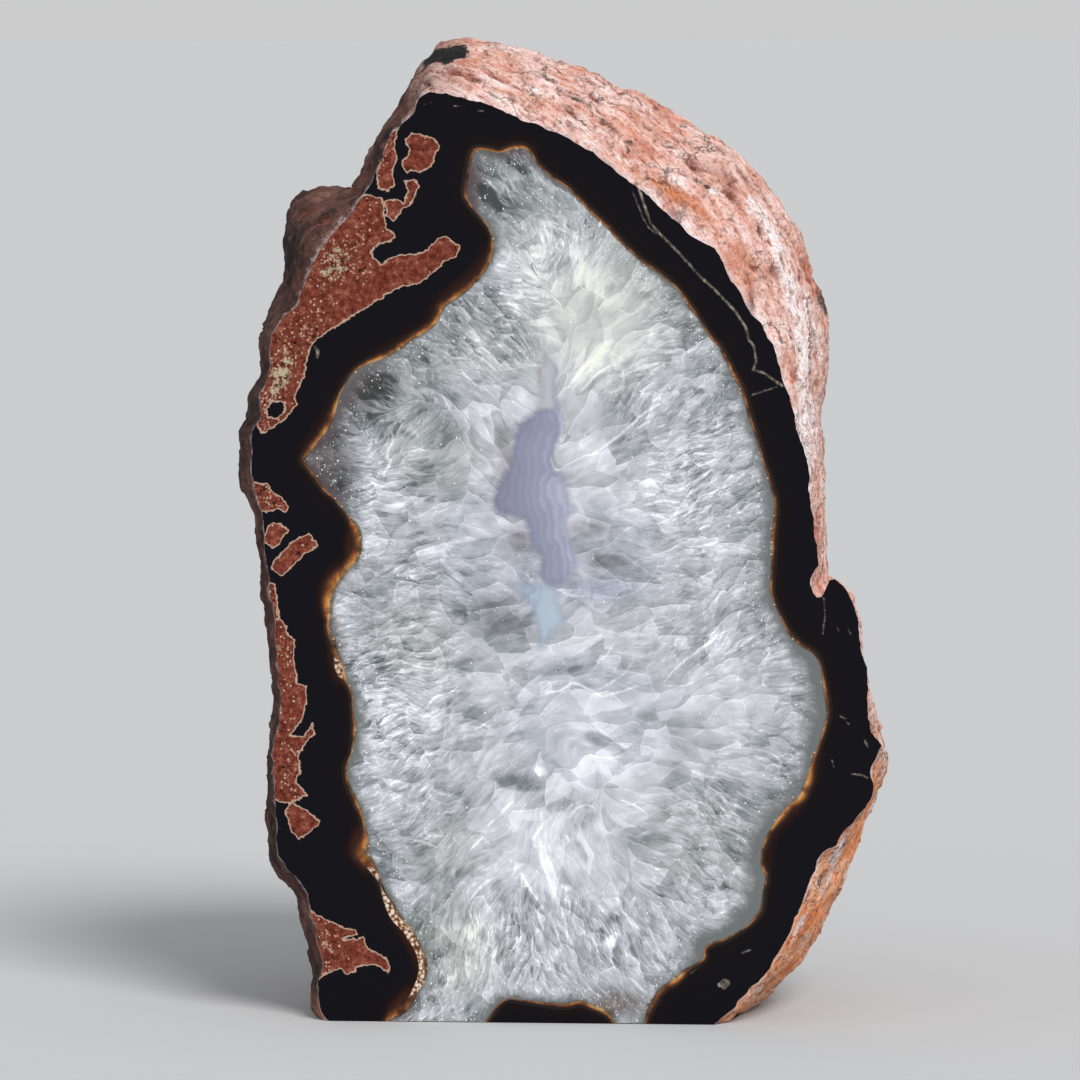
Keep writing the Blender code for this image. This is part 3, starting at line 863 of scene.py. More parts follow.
@dataclass
class Face:
    """The polished face, cut into its agate band and its quartz heart along the rust line."""

    sight: Sight
    rim: Places
    spacing: float = 0.49
    rust_margin: float = 0.8
    line_step: float = 0.6

    def __post_init__(self) -> None:
        """Reads the outlines and triangulates the face."""
        corners = self.sight.on_face(QUARTZ_EDGE)
        count = int(run_length(corners) / self.line_step)
        self.quartz_line = smooth_line(corners, count, closed=True)
        self.quartz_rim = self.swollen(self.quartz_line, self.rust_margin)
        self.outline = clipped(self.rim)
        self.places, self.faces, self.in_quartz = self.triangulate()

    @staticmethod
    def swollen(ring: Places, by: float) -> Places:
        """A clockwise ring moved outwards.

        Args:
            ring: The ring's points, one row each.
            by: How far outwards, in millimetres.

        Returns:
            The moved ring.
        """
        way = np.roll(ring, -2, axis=0) - np.roll(ring, 2, axis=0)
        way /= np.linalg.norm(way, axis=1)[:, None]
        return ring + by * np.stack([-way[:, 1], way[:, 0]], axis=1)

    def triangulate(self) -> tuple[Places, np.ndarray, np.ndarray]:
        """Triangles all over the face, none of which crosses the quartz's rim.

        Returns:
            The points, the triangles, and which triangles are quartz.
        """
        quartz = clipped(self.quartz_rim)
        low, high = self.outline.min(axis=0), self.outline.max(axis=0)
        row_step = self.spacing * math.sqrt(0.75)
        x, z = np.meshgrid(np.arange(low[0], high[0], self.spacing), np.arange(low[1], high[1], row_step))
        x[1::2] += self.spacing / 2
        fill = np.stack([x.ravel(), z.ravel()], axis=1)
        fill = fill[depth_inside(fill, self.outline) > 0.5 * self.spacing]
        fill = fill[np.abs(depth_inside(fill, quartz)) > 0.5 * self.spacing]
        points = np.concatenate([self.outline, quartz, fill])
        starts = (0, len(self.outline))
        edges = []
        for start, ring in zip(starts, (self.outline, quartz)):
            edges += [(start + k, start + (k + 1) % len(ring)) for k in range(len(ring))]
        made = delaunay_2d_cdt([Vector(p) for p in points], edges, [], 0, 1e-5, False)
        places = np.array([(p[0], p[1]) for p in made[0]])
        faces = np.array([f for f in made[2] if len(f) == 3])
        middles = places[faces].mean(axis=1)
        keep = depth_inside(middles, self.outline) > 0
        faces, middles = faces[keep], middles[keep]
        return places, faces, depth_inside(middles, quartz) > 0

    def part(self, chosen: np.ndarray) -> tuple[Places, np.ndarray]:
        """The points and triangles of some of the face, facing the front.

        Args:
            chosen: Which triangles to take.

        Returns:
            The places as x and z, and the triangles.
        """
        faces = self.faces[chosen]
        used, numbers = np.unique(faces, return_inverse=True)
        faces = numbers.reshape(faces.shape)
        places = self.places[used]
        a, b, c = (places[faces[:, k]] for k in range(3))
        turn = (b[:, 0] - a[:, 0]) * (c[:, 1] - a[:, 1]) - (b[:, 1] - a[:, 1]) * (c[:, 0] - a[:, 0])
        faces[turn < 0] = faces[turn < 0][:, ::-1]
        return places, faces

    def solid_places(self, places: Places) -> Places:
        """Places on the face as points in space."""
        return np.stack([places[:, 0], np.full(len(places), FACE_Y), places[:, 1]], axis=1)


def clipped(ring: Places) -> Places:
    """The part of a ring that lies above the foot.

    Args:
        ring: The ring's points as x and z, one row each.

    Returns:
        The ring, with its lowest run on the foot's plane.
    """
    kept = []
    for a, b in zip(ring, np.roll(ring, -1, axis=0)):
        if a[1] >= 0:
            kept.append(a)
        if (a[1] >= 0) != (b[1] >= 0):
            kept.append(a + (b - a) * a[1] / (a[1] - b[1]))
    kept = np.array(kept)
    kept[np.abs(kept[:, 1]) < 1e-6, 1] = 0.0
    return kept


@dataclass
class QuartzHeart:
    """The milky quartz, its milk and its crystals' lean worked out on a fine grid, and the chalcedony pool in its
    middle.
    """

    sight: Sight
    face: Face
    grid: FaceGrid = field(default_factory=FaceGrid)

    def __post_init__(self) -> None:
        """Works out the rim depth and the crystals' lean over the grid."""
        self.noise = Lattice(5)
        self.rim = self.grid.spread(self.face.quartz_line)
        self.lean = self.grain()

    def grain(self) -> Field:
        """The crystals' lean over the grid, in radians up from the right."""
        x, z = np.meshgrid(self.grid.x, self.grid.z)
        cosine, sine = self.grid.blank(), self.grid.blank()
        for at, degrees in GRAIN:
            centre = self.sight.on_face([at])[0]
            weight = np.exp(-((x - centre[0]) ** 2 + (z - centre[1]) ** 2) / (2 * 8.0**2)) + 1e-9
            cosine += weight * math.cos(2 * math.radians(degrees))
            sine += weight * math.sin(2 * math.radians(degrees))
        wander = self.noise.at(x, z, 14.0, 2) * math.radians(22)
        return 0.5 * np.arctan2(sine, cosine) + wander

    def milk(self) -> Field:
        """How milky each cell of the grid is: 0 for clear grey quartz, 1 for white."""
        x, z = np.meshgrid(self.grid.x, self.grid.z)
        cloud = self.noise.at(x, z, 9.0, 3)
        milk = 0.52 + 0.07 * cloud + 0.06 * self.noise.at(x + 20.0, z + 40.0, 3.0, 2)
        milk -= 0.11 * (1.0 - ease(self.rim + 3.0 * cloud, 3.0, 13.0))
        milk += self.grid.marked(VEILS, self.sight) + self.grid.marked(MARKS, self.sight)
        return milk

    def feathers(self) -> Field:
        """How strongly each cell of the grid is combed with fine fibres: most of all a little inside the rim."""
        x, z = np.meshgrid(self.grid.x, self.grid.z)
        patchy = 0.55 + 0.45 * ease(self.noise.at(x + 50.0, z + 80.0, 17.0, 2), -0.5, 0.6)
        return patchy * (1.0 - 0.62 * ease(self.rim, 14.0, 34.0)) + self.grid.marked(CALM, self.sight)

    def veins(self, places: Places) -> dict[str, Field]:
        """Each point's place by the nearest vein.

        Args:
            places: The points as x and z, one row each.

        Returns:
            How far above or below the vein's line the point is, half the vein's width there, which falls
            below 0 away from it, and its lift.
        """
        side, half, lift = (np.full(len(places), value) for value in (9.0, -9.0, 0.0))
        for half_width, strength, corners in VEINS:
            line = smooth_line(self.sight.on_face(corners), 3 * len(corners) + 1)
            near = np.flatnonzero((np.abs(places - line.mean(axis=0)) < 3.0 + 0.5 * run_length(line)).all(axis=1))
            for k, (start, end) in enumerate(zip(line[:-1], line[1:])):
                way = end - start
                off = places[near] - start
                along = off @ way / (way @ way)
                gap = np.linalg.norm(off - np.clip(along, 0, 1)[:, None] * way, axis=1)
                nearer = gap < np.abs(side[near])
                done = (k + np.clip(along, 0, 1)) / (len(line) - 1)
                width = half_width * np.sqrt(np.clip(1.0 - (2 * done - 1) ** 2, 0, 1)) - 2.0 * np.clip(gap - 1.0, 0, 3)
                chosen = near[nearer]
                side[chosen] = (gap * np.sign(way[0] * off[:, 1] - way[1] * off[:, 0]))[nearer]
                half[chosen], lift[chosen] = width[nearer], strength
        return {"vein_side": side, "vein_half": half, "vein_lift": lift}

    def rust(self, places: Places) -> Field:
        """How many times its usual width the rust line is."""
        wander = self.noise.at(places[:, 0] + 11.0, places[:, 1] + 23.0, 7.0, 2)
        return 1.0 + 0.35 * wander + self.grid.read(self.grid.marked(RUST_SWELLS, self.sight), places)

    def measures(self, places: Places) -> dict[str, Field]:
        """What each point carries for the finish.

        Args:
            places: The points as x and z, one row each.

        Returns:
            The values by name.
        """
        sway = np.stack([
            self.noise.at(places[:, 0], places[:, 1], 3.4, 2),
            self.noise.at(places[:, 0] + 91.0, places[:, 1] + 37.0, 3.4, 2),
        ], axis=1)
        rings = {
            "pool_neck": POOL_NECK,
            "pool_body": POOL_BODY,
            "pool_tip": POOL_TIP,
        }
        measures = {
            "milk": self.grid.read(self.milk(), places + 0.35 * sway),
            "feathers": self.grid.read(self.feathers(), places),
            "lean_cosine": self.grid.read(np.cos(2 * self.lean), places),
            "lean_sine": self.grid.read(np.sin(2 * self.lean), places),
            "green": self.grid.read(self.grid.marked(GREEN_TINTS, self.sight), places),
            "smoke": self.grid.read(self.grid.marked(SMOKY_TINTS, self.sight), places),
            "lilac": self.grid.read(self.grid.marked(LILAC_TINTS, self.sight), places),
            "rim": depth_inside(places, self.face.quartz_line[::2]),
            "rust_width": self.rust(places),
            "border": 1.0 + self.grid.read(self.grid.marked(BORDER_SWELLS, self.sight), places),
            **self.veins(places),
            "crust": self.grid.read(self.grid.marked(CRUST, self.sight), places) - 0.6,
        }
        for name, corners in rings.items():
            ring = smooth_line(self.sight.on_face(corners), 4 * len(corners), closed=True)
            near = (np.abs(places - ring.mean(axis=0)) < 30.0).all(axis=1)
            depths = np.full(len(places), -9.0)
            depths[near] = depth_inside(places[near], ring)
            measures[name] = np.clip(depths, -9.0, 99.0)
        return measures

    def build(self) -> bpy.types.Object:
        """Makes the quartz piece."""
        places, faces = self.face.part(self.face.in_quartz)
        return new_piece(
            "milky_quartz_heart", self.face.solid_places(places), faces.tolist(),
            PolishedQuartz().material(), Slot.QUARTZ, self.measures(places), smooth=False,
        )


@dataclass
class AgateBand:
    """The band of black agate round the quartz, with the pieces of red-brown rock that it healed round."""

    sight: Sight
    face: Face
    grid: FaceGrid = field(default_factory=FaceGrid)

    def jasper(self, places: Places) -> Field:
        """How far inside a piece of red-brown rock each place lies."""
        depths = np.full(len(places), -9.0)
        for corners in JASPER.values():
            ring = self.sight.on_face(corners)
            low, high = ring.min(axis=0) - 3.0, ring.max(axis=0) + 3.0
            near = ((places > low) & (places < high)).all(axis=1)
            depths[near] = np.maximum(depths[near], depth_inside(places[near], ring))
        gap = self.sight.on_face(JASPER_GAP)
        near = (np.abs(places - gap.mean(axis=0)) < 5.0).all(axis=1)
        depths[near] = np.minimum(depths[near], -depth_inside(places[near], gap))
        return depths

    def cracks(self, places: Places) -> Field:
        """How far off the nearest healed crack's side each place lies, below zero inside it."""
        best = np.full(len(places), 9.0)
        for half_width, corners in CRACKS:
            line = self.sight.on_face(corners)
            best = np.minimum(best, off_line(places, line) - half_width)
        return best

    def build(self) -> bpy.types.Object:
        """Makes the agate piece."""
        places, faces = self.face.part(~self.face.in_quartz)
        measures = {
            "jasper": self.jasper(places),
            "crack": self.cracks(places),
            "off_quartz": -depth_inside(places, self.face.quartz_line[::2]),
            "rust_width": self.grid.read(self.grid.marked(RUST_SWELLS, self.sight), places),
            "cream": self.grid.read(self.grid.marked(CREAM_SPECKS, self.sight), places),
        }
        return new_piece(
            "black_agate_band", self.face.solid_places(places), faces.tolist(),
            PolishedAgate().material(), Slot.AGATE, measures, smooth=False,
        )


@dataclass
class Rind:
    """The rough natural outside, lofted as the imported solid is, in finer steps and with finer relief."""

    sight: Sight
    stations: int = 640
    front_rings: int = 36
    back_rings: int = 84
    front_spread: float = 1.2
    front_swell: float = 0.9
    back_fullness: float = 0.68
    dome_squareness: float = 0.94
    back_centre: tuple[float, float] = (-1.0, 102.0)
    back_half_span: tuple[float, float] = (66.0, 125.0)
    rounded_from: float = 0.68 * DEPTH
    halved_below: float = 0.78
    quartered_below: float = 0.4
    most_stride: int = 4
    crown_taper: float = 0.2
    crown_taper_heights: tuple[float, float] = (110.0, 250.0)
    swell_height: float = 9.0
    swell_length: float = 62.0
    lump_height: float = 3.8
    lump_length: float = 24.0
    ledge_height: float = 2.2
    ledge_length: float = 44.0
    ledge_width: float = 9.0
    pit_depth: float = 3.2
    pit_length: float = 19.0
    pit_threshold: float = 0.15
    clean_rim: float = 9.0
    calm_share: float = 0.3
    crumb_height: float = 0.75
    crumb_length: float = 7.0
    nick_height: float = 0.8
    nick_length: float = 7.0
    streak_slant: float = 0.16
    pock_depth: float = 1.6
    pock_size: tuple[float, float] = (7.5, 2.6)
    step_height: float = 1.0
    step_size: tuple[float, float] = (30.0, 4.6)

    def __post_init__(self) -> None:
        """Lays out the stations round the stone."""
        whole = sum(run_length(self.sight.on_plane(c, GIRTH_Y)) for c in GIRTH_EDGE.values())
        face, girth, turfs = [], [], []
        for stretch, corners in GIRTH_EDGE.items():
            wide = self.sight.on_plane(corners, GIRTH_Y)
            share = self.stations * run_length(wide) / whole / self.most_stride
            count = self.most_stride * round(share)
            face.append(smooth_line(self.sight.on_face(FACE_EDGE[stretch]), count))
            girth.append(smooth_line(wide, count))
            turfs += [TURF_OF[stretch]] * count
        self.face_ring = self.chipped(np.concatenate(face))
        self.girth_ring = np.concatenate(girth)
        steps = np.linalg.norm(np.diff(self.girth_ring, axis=0), axis=1)
        self.along = np.concatenate([[0.0], np.cumsum(steps)])
        self.turfs = turfs

    def chipped(self, ring: Places) -> Places:
        """The face's edge with the small nicks that sawing and polishing leave."""
        way = np.roll(ring, -1, axis=0) - np.roll(ring, 1, axis=0)
        way /= np.linalg.norm(way, axis=1)[:, None]
        nicks = [
            noise.fractal(Vector((p[0], p[1], 3.0)) / self.nick_length, 0.6, 2.2, 3) * self.nick_height for p in ring
        ]
        return ring + np.array(nicks)[:, None] * np.stack([-way[:, 1], way[:, 0]], axis=1)

    def sections(self) -> list[tuple[float, float, float]]:
        """Each ring's depth behind the face, share of the way out to the girth, and size."""
        rings = []
        for k in range(self.front_rings):
            share = k / self.front_rings
            swell = math.sin(share * math.pi / 2) ** self.front_swell
            rings.append((GIRTH_DEPTH * share**self.front_spread, swell, 1.0))
        for k in range(self.back_rings):
            turn = k / self.back_rings * math.pi / 2
            depth = GIRTH_DEPTH + (DEPTH - GIRTH_DEPTH) * math.sin(turn) ** self.dome_squareness
            rings.append((depth, 1.0, math.cos(turn) ** self.back_fullness))
        return rings

    def loft(self) -> tuple[Places, list, Places]:
        """The smooth loft before its relief.

        Returns:
            The points, the faces, and each point's way round the stone, depth, station, ring size and way back
            over the surface.
        """
        centre = np.array(self.back_centre)
        way = self.girth_ring - centre
        reach = np.hypot(way[:, 0] / self.back_half_span[0], way[:, 1] / self.back_half_span[1])
        oval = centre + way / reach[:, None]
        points, tracks, faces = [], [], []
        near: list[int] = []
        back, last = 0.0, (0.0, 1.0)
        for depth, share, size in self.sections():
            back += depth - last[0] if depth <= GIRTH_DEPTH else math.hypot(depth - last[0], 90 * (last[1] - size))
            last = (depth, size)
            stride = self.most_stride if size < self.quartered_below else 2 if size < self.halved_below else 1
            worn = self.girth_ring + (oval - self.girth_ring) * ease(depth, GIRTH_DEPTH, self.rounded_from)
            flat = centre + (self.face_ring + (worn - self.face_ring) * share - centre) * size
            taper = 1.0 - self.crown_taper * ease(flat[:, 1], *self.crown_taper_heights)
            ring = np.stack([flat[:, 0], FACE_Y + depth * taper, flat[:, 1]], axis=1)[::stride]
            first = sum(len(p) for p in points)
            points.append(ring)
            numbers = np.arange(0, self.face_ring.shape[0], stride)
            ways = [self.along[numbers], np.full(len(ring), depth), numbers]
            tracks.append(np.stack(ways + [np.full(len(ring), size), np.full(len(ring), back)], axis=1))
            far = list(range(first, first + len(ring)))
            faces += self.joined(near, far)
            near = far
        pole = near[-1] + 1
        points.append(np.array([[centre[0], FACE_Y + DEPTH, centre[1]]]))
        tracks.append(np.array([[0.0, DEPTH, 0.0, 0.0, back]]))
        faces += [(v, near[(k + 1) % len(near)], pole) for k, v in enumerate(near)]
        return np.concatenate(points), faces, np.concatenate(tracks)

    @staticmethod
    def joined(near: list[int], far: list[int]) -> list[tuple[int, ...]]:
        """Faces between two rings, of which the far one has as many points as the near one, or half."""
        if not near:
            return []
        faces = []
        for k, vert in enumerate(far):
            after = far[(k + 1) % len(far)]
            if len(near) == len(far):
                faces.append((near[k], near[(k + 1) % len(near)], after, vert))
                continue
            start, middle, end = near[2 * k], near[2 * k + 1], near[(2 * k + 2) % len(near)]
            faces += [(start, middle, vert), (middle, after, vert), (middle, end, after)]
        return faces

    def relief(self, place: Vector, along: float, depth: float) -> tuple[float, float]:
        """How far the rind stands out at a place, and what weathering shows there.

        Args:
            place: The place on the smooth loft.
            along: How far round the stone it lies. Ledges run that way.
            depth: How far behind the face it lies.

        Returns:
            The height, and how deep in a pock the place lies.
        """
        swell = noise.noise(place / self.swell_length + Vector((3.1, 7.7, 1.3))) * self.swell_height
        lump = noise.fractal(place / self.lump_length, 0.9, 2.0, 2) * self.lump_height
        ledge = 0.5 - 2.0 * abs(noise.noise(Vector((along / self.ledge_length, depth / self.ledge_width, 4.2))))
        front = 1.0 - float(ease(depth, DEPTH * 0.6, DEPTH * 0.85))
        pit = max(0.0, noise.noise(place / self.pit_length + Vector((11.0, 2.0, 5.0))) - self.pit_threshold)
        behind = float(ease(depth, GIRTH_DEPTH, DEPTH * 0.7))
        calm = self.calm_share + (1.0 - self.calm_share) * behind
        coarse = swell * behind + (lump + ledge * self.ledge_height * front - pit * self.pit_depth) * calm
        crumb = noise.fractal(place / self.crumb_length + Vector((1.7, 9.2, 3.3)), 0.75, 2.1, 3)
        down, across = along - self.streak_slant * depth, depth + self.streak_slant * along
        pock_at = Vector((down / self.pock_size[0], across / self.pock_size[1], 7.7))
        pock = max(0.0, noise.noise(pock_at) - 0.20) * 2.4 * front
        step_at = Vector((down / self.step_size[0], across / self.step_size[1], 1.9))
        step = noise.noise(step_at)
        step = (step - math.floor(step * 3.0) / 3.0) * 3.0 * front
        fine = crumb * self.crumb_height - pock * self.pock_depth + (step - 0.5) * self.step_height
        height = coarse * float(ease(depth, 0.0, self.clean_rim)) + fine * float(ease(depth, 0.0, 2.5))
        return height, pock

    def marked(self, points: Places, depths: Field, marks: list[Mark]) -> Field:
        """What marks add to each point of the rind's front half.

        Args:
            points: The rind's points, one row each.
            depths: How far behind the face each one lies.
            marks: The marks.

        Returns:
            The sum of the marks at each point.
        """
        seen = self.sight.pictured(points)
        covers = sum(mark.cover(seen[:, 0] - mark.at[0], mark.at[1] - seen[:, 1]) for mark in marks)
        return covers * (1.0 - ease(depths, 36.0, 50.0))

    def turf_weights(self, points: Places, tracks: Places, turf: Turf) -> Field:
        """How much of each point is dressed in one turf, which turfs share in patches behind the girth."""
        here = np.array([t is turf for t in self.turfs], float)
        reach = 10
        padded = np.concatenate([here[-reach:], here, here[:reach]])
        soft = np.convolve(padded, np.ones(2 * reach + 1) / (2 * reach + 1), "valid")
        behind = ease(tracks[:, 1], GIRTH_DEPTH, 0.75 * DEPTH)
        patches = Lattice(9).at(points[:, 0] + 40.0 * (turf is Turf.ORANGE), points[:, 2], 34.0, 3)
        shared = 0.40 * ease(patches, -0.4, 0.7)
        return soft[tracks[:, 2].astype(int)] * (1.0 - behind) + shared * behind

    def build(self) -> bpy.types.Object:
        """Makes the rind and saws it off at the foot."""
        points, faces, tracks = self.loft()
        smooth = bpy.data.meshes.new("smooth_loft")
        smooth.from_pydata(points.tolist(), [], faces)
        normals = np.zeros(len(points) * 3, np.float32)
        smooth.vertices.foreach_get("normal", normals)
        bpy.data.meshes.remove(smooth)
        reliefs = np.array([self.relief(Vector(p), t[0], t[1]) for p, t in zip(points, tracks)])
        reliefs[-1] = reliefs[-2]
        points = points + normals.reshape(-1, 3) * reliefs[:, :1]
        chip_at = self.sight.on_plane([(448, 63)], FACE_Y + 16)[0]
        chip = np.array([chip_at[0], FACE_Y + 14, chip_at[1]])
        measures = {
            "streak_u": tracks[:, 0] * tracks[:, 3] - self.streak_slant * tracks[:, 4],
            "streak_v": tracks[:, 4] + self.streak_slant * tracks[:, 0] * tracks[:, 3],
            "frost": self.marked(points, tracks[:, 1], RIND_FROST_AND_LIGHT),
            "stain": self.marked(points, tracks[:, 1], RIND_STAINS),
            "shade": self.marked(points, tracks[:, 1], RIND_SHADES),
            "pock": reliefs[:, 1],
            "salmon": self.turf_weights(points, tracks, Turf.SALMON),
            "orange": self.turf_weights(points, tracks, Turf.ORANGE),
            "chip": 6.3 - np.linalg.norm(points - chip, axis=1),
        }
        piece = new_piece("rough_rind", points, faces, WeatheredRind().material(), Slot.RIND, measures, smooth=True)
        self.saw(piece)
        return piece

    @staticmethod
    def saw(piece: bpy.types.Object) -> None:
        """Cuts a piece off flat at the plane that the stone stands on."""
        lump = bmesh.new()
        lump.from_mesh(piece.data)
        everything = lump.verts[:] + lump.edges[:] + lump.faces[:]
        bmesh.ops.bisect_plane(
            lump, geom=everything, dist=1e-7, plane_co=(0, 0, 0), plane_no=(0, 0, 1), clear_inner=True
        )
        lump.to_mesh(piece.data)
        lump.free()


@dataclass
class SawnFoot:
    """The flat cut that the stone rests on, closed with the rind's own cut edge."""

    rind: bpy.types.Object
    face: Face
    spacing: float = 1.6

    def outline(self) -> Places:
        """The cut's outline as x and y in millimetres, in order."""
        mesh = self.rind.data
        places = np.array([v.co for v in mesh.vertices]) / METRES_PER_MM
        low = np.abs(places[:, 2]) < 1e-3
        counts: dict[tuple[int, int], int] = {}
        for polygon in mesh.polygons:
            for key in polygon.edge_keys:
                if low[key[0]] and low[key[1]]:
                    counts[key] = counts.get(key, 0) + 1
        links: dict[int, list[int]] = {}
        for (a, b), uses in counts.items():
            if uses == 1:
                links.setdefault(a, []).append(b)
                links.setdefault(b, []).append(a)
        at = next(v for v, others in links.items() if len(others) == 1)
        chain = [at]
        while True:
            onward = [v for v in links[chain[-1]] if len(chain) < 2 or v != chain[-2]]
            if not onward or onward[0] == chain[0]:
                break
            chain.append(onward[0])
        return places[chain][:, :2]

    def build(self) -> bpy.types.Object:
        """Makes the foot."""
        outline = self.outline()
        low, high = outline.min(axis=0), outline.max(axis=0)
        x, y = np.meshgrid(np.arange(low[0], high[0], self.spacing), np.arange(low[1], high[1], self.spacing))
        fill = np.stack([x.ravel(), y.ravel()], axis=1)
        fill = fill[depth_inside(fill, outline) > 0.6 * self.spacing]
        points = np.concatenate([outline, fill])
        edges = [(k, (k + 1) % len(outline)) for k in range(len(outline))]
        made = delaunay_2d_cdt([Vector(p) for p in points], edges, [], 1, 1e-5, False)
        places = np.array([(p[0], p[1]) for p in made[0]])
        faces = [tuple(reversed(f)) for f in made[2]]
        solid = np.stack([places[:, 0], places[:, 1], np.zeros(len(places))], axis=1)
        on_face = np.stack([places[:, 0], np.full(len(places), 0.5)], axis=1)
        at_face = depth_inside(on_face, self.face.quartz_line)
        side_rim = outline[outline[:, 1] > FACE_Y + 0.01]
        inward = off_line(places, side_rim)
        measures = {
            "inward": inward,
            "quartz": np.minimum(inward - 13.0, at_face + (places[:, 1] - FACE_Y) * 0.8),
        }
        return new_piece(
            "sawn_foot", solid, faces, SawnStone().material(), Slot.FOOT, measures, smooth=False
        )


# White patches of crust, partly painted light where the right flank lies in shade, and iron-stained and shaded patches
# of the rind that is seen past the face
RIND_FROST_AND_LIGHT = marks(
    (756, 208, 20, 8, -52, 1.0), (772, 236, 30, 7, -64, 0.9), (783, 275, 40, 8, -72, 0.7),
    (800, 345, 40, 7, -82, 0.7), (806, 470, 60, 5, -85, 0.5), (590, 142, 12, 4, -30, 0.5),
    (620, 158, 16, 4, -40, 0.6), (722, 245, 10, 6, -50, 0.6), (690, 212, 14, 5, -30, 0.5),
    (640, 163, 26, 2.4, -14, 0.5), (690, 180, 26, 2.6, -22, 0.6), (714, 192, 9, 4, -30, 0.9),
    (470, 52, 34, 6, -6, 0.25), (838, 850, 24, 5, 60, 0.9), (828, 880, 30, 4, 64, 0.8),
    (800, 925, 30, 4, 62, 0.8), (862, 800, 40, 5, 70, 0.6), (866, 660, 60, 4, -80, 0.5),
    (796, 300, 70, 18, -74, 0.6), (806, 420, 90, 16, -86, 0.8), (840, 900, 70, 6, 62, 0.5),
)
RIND_STAINS = marks(
    (660, 186, 30, 11, -26, 0.8), (690, 206, 34, 9, -34, 0.9), (716, 178, 16, 8, -40, 0.6),
    (746, 258, 26, 9, -58, 0.7), (700, 150, 14, 8, -30, 0.4), (507, 92, 34, 5, -14, 0.6),
    (790, 420, 40, 8, -80, 0.5), (812, 400, 30, 6, -85, 0.5), (640, 120, 30, 6, -30, 0.3),
    (560, 110, 26, 6, -28, 0.3),
)
RIND_SHADES = marks(
    (628, 150, 14, 2.2, -70, 0.8), (634, 143, 10, 1.8, -30, 0.8), (668, 171, 34, 1.6, -14, 0.7),
    (702, 184, 16, 1.8, -28, 0.8), (706, 187, 3, 3, 0, 1.2), (612, 129, 16, 1.8, -38, 0.8),
    (600, 118, 20, 1.6, -30, 0.6), (645, 126, 18, 1.8, -32, 0.6), (570, 96, 22, 1.8, -28, 0.5),
    (585, 104, 26, 1.6, -32, 0.5), (540, 88, 18, 1.6, -30, 0.4), (523, 100, 16, 1.4, -34, 0.4),
    (605, 160, 10, 1.6, -50, 0.4), (696, 146, 16, 1.6, -24, 0.5), (732, 225, 18, 1.6, -56, 0.4),
    (822, 300, 20, 5, -72, 1.0), (812, 330, 16, 2, -80, 0.5), (764, 180, 20, 1.8, -50, 0.4),
)

TURF_OF = {
    "left flank": Turf.UMBER_AND_SHADE,
    "shoulder": Turf.UMBER_AND_SHADE,
    "left crest": Turf.UMBER_AND_SHADE,
    "crown": Turf.SALMON,
    "right bulge": Turf.SALMON,
    "lower right": Turf.ORANGE,
    "keel": Turf.ORANGE,
}


@dataclass(frozen=True)
class Growth:
    """One size of crystal as the polish shows it. Sizes are in millimetres, and the rest is in shares of milk."""

    block: float
    crystal: tuple[float, float]
    fibre: tuple[float, float]
    tone: float
    bevel: float
    seam: float
    seam_lift: float
    bright: float
    dark: float
    feathery: bool

    def evening(self) -> float:
        """What is taken off again, so that the growth leaves the mean milk as it was."""
        return 0.5 * self.tone + 0.1 * self.seam_lift + 0.05 * (self.bright + self.dark)


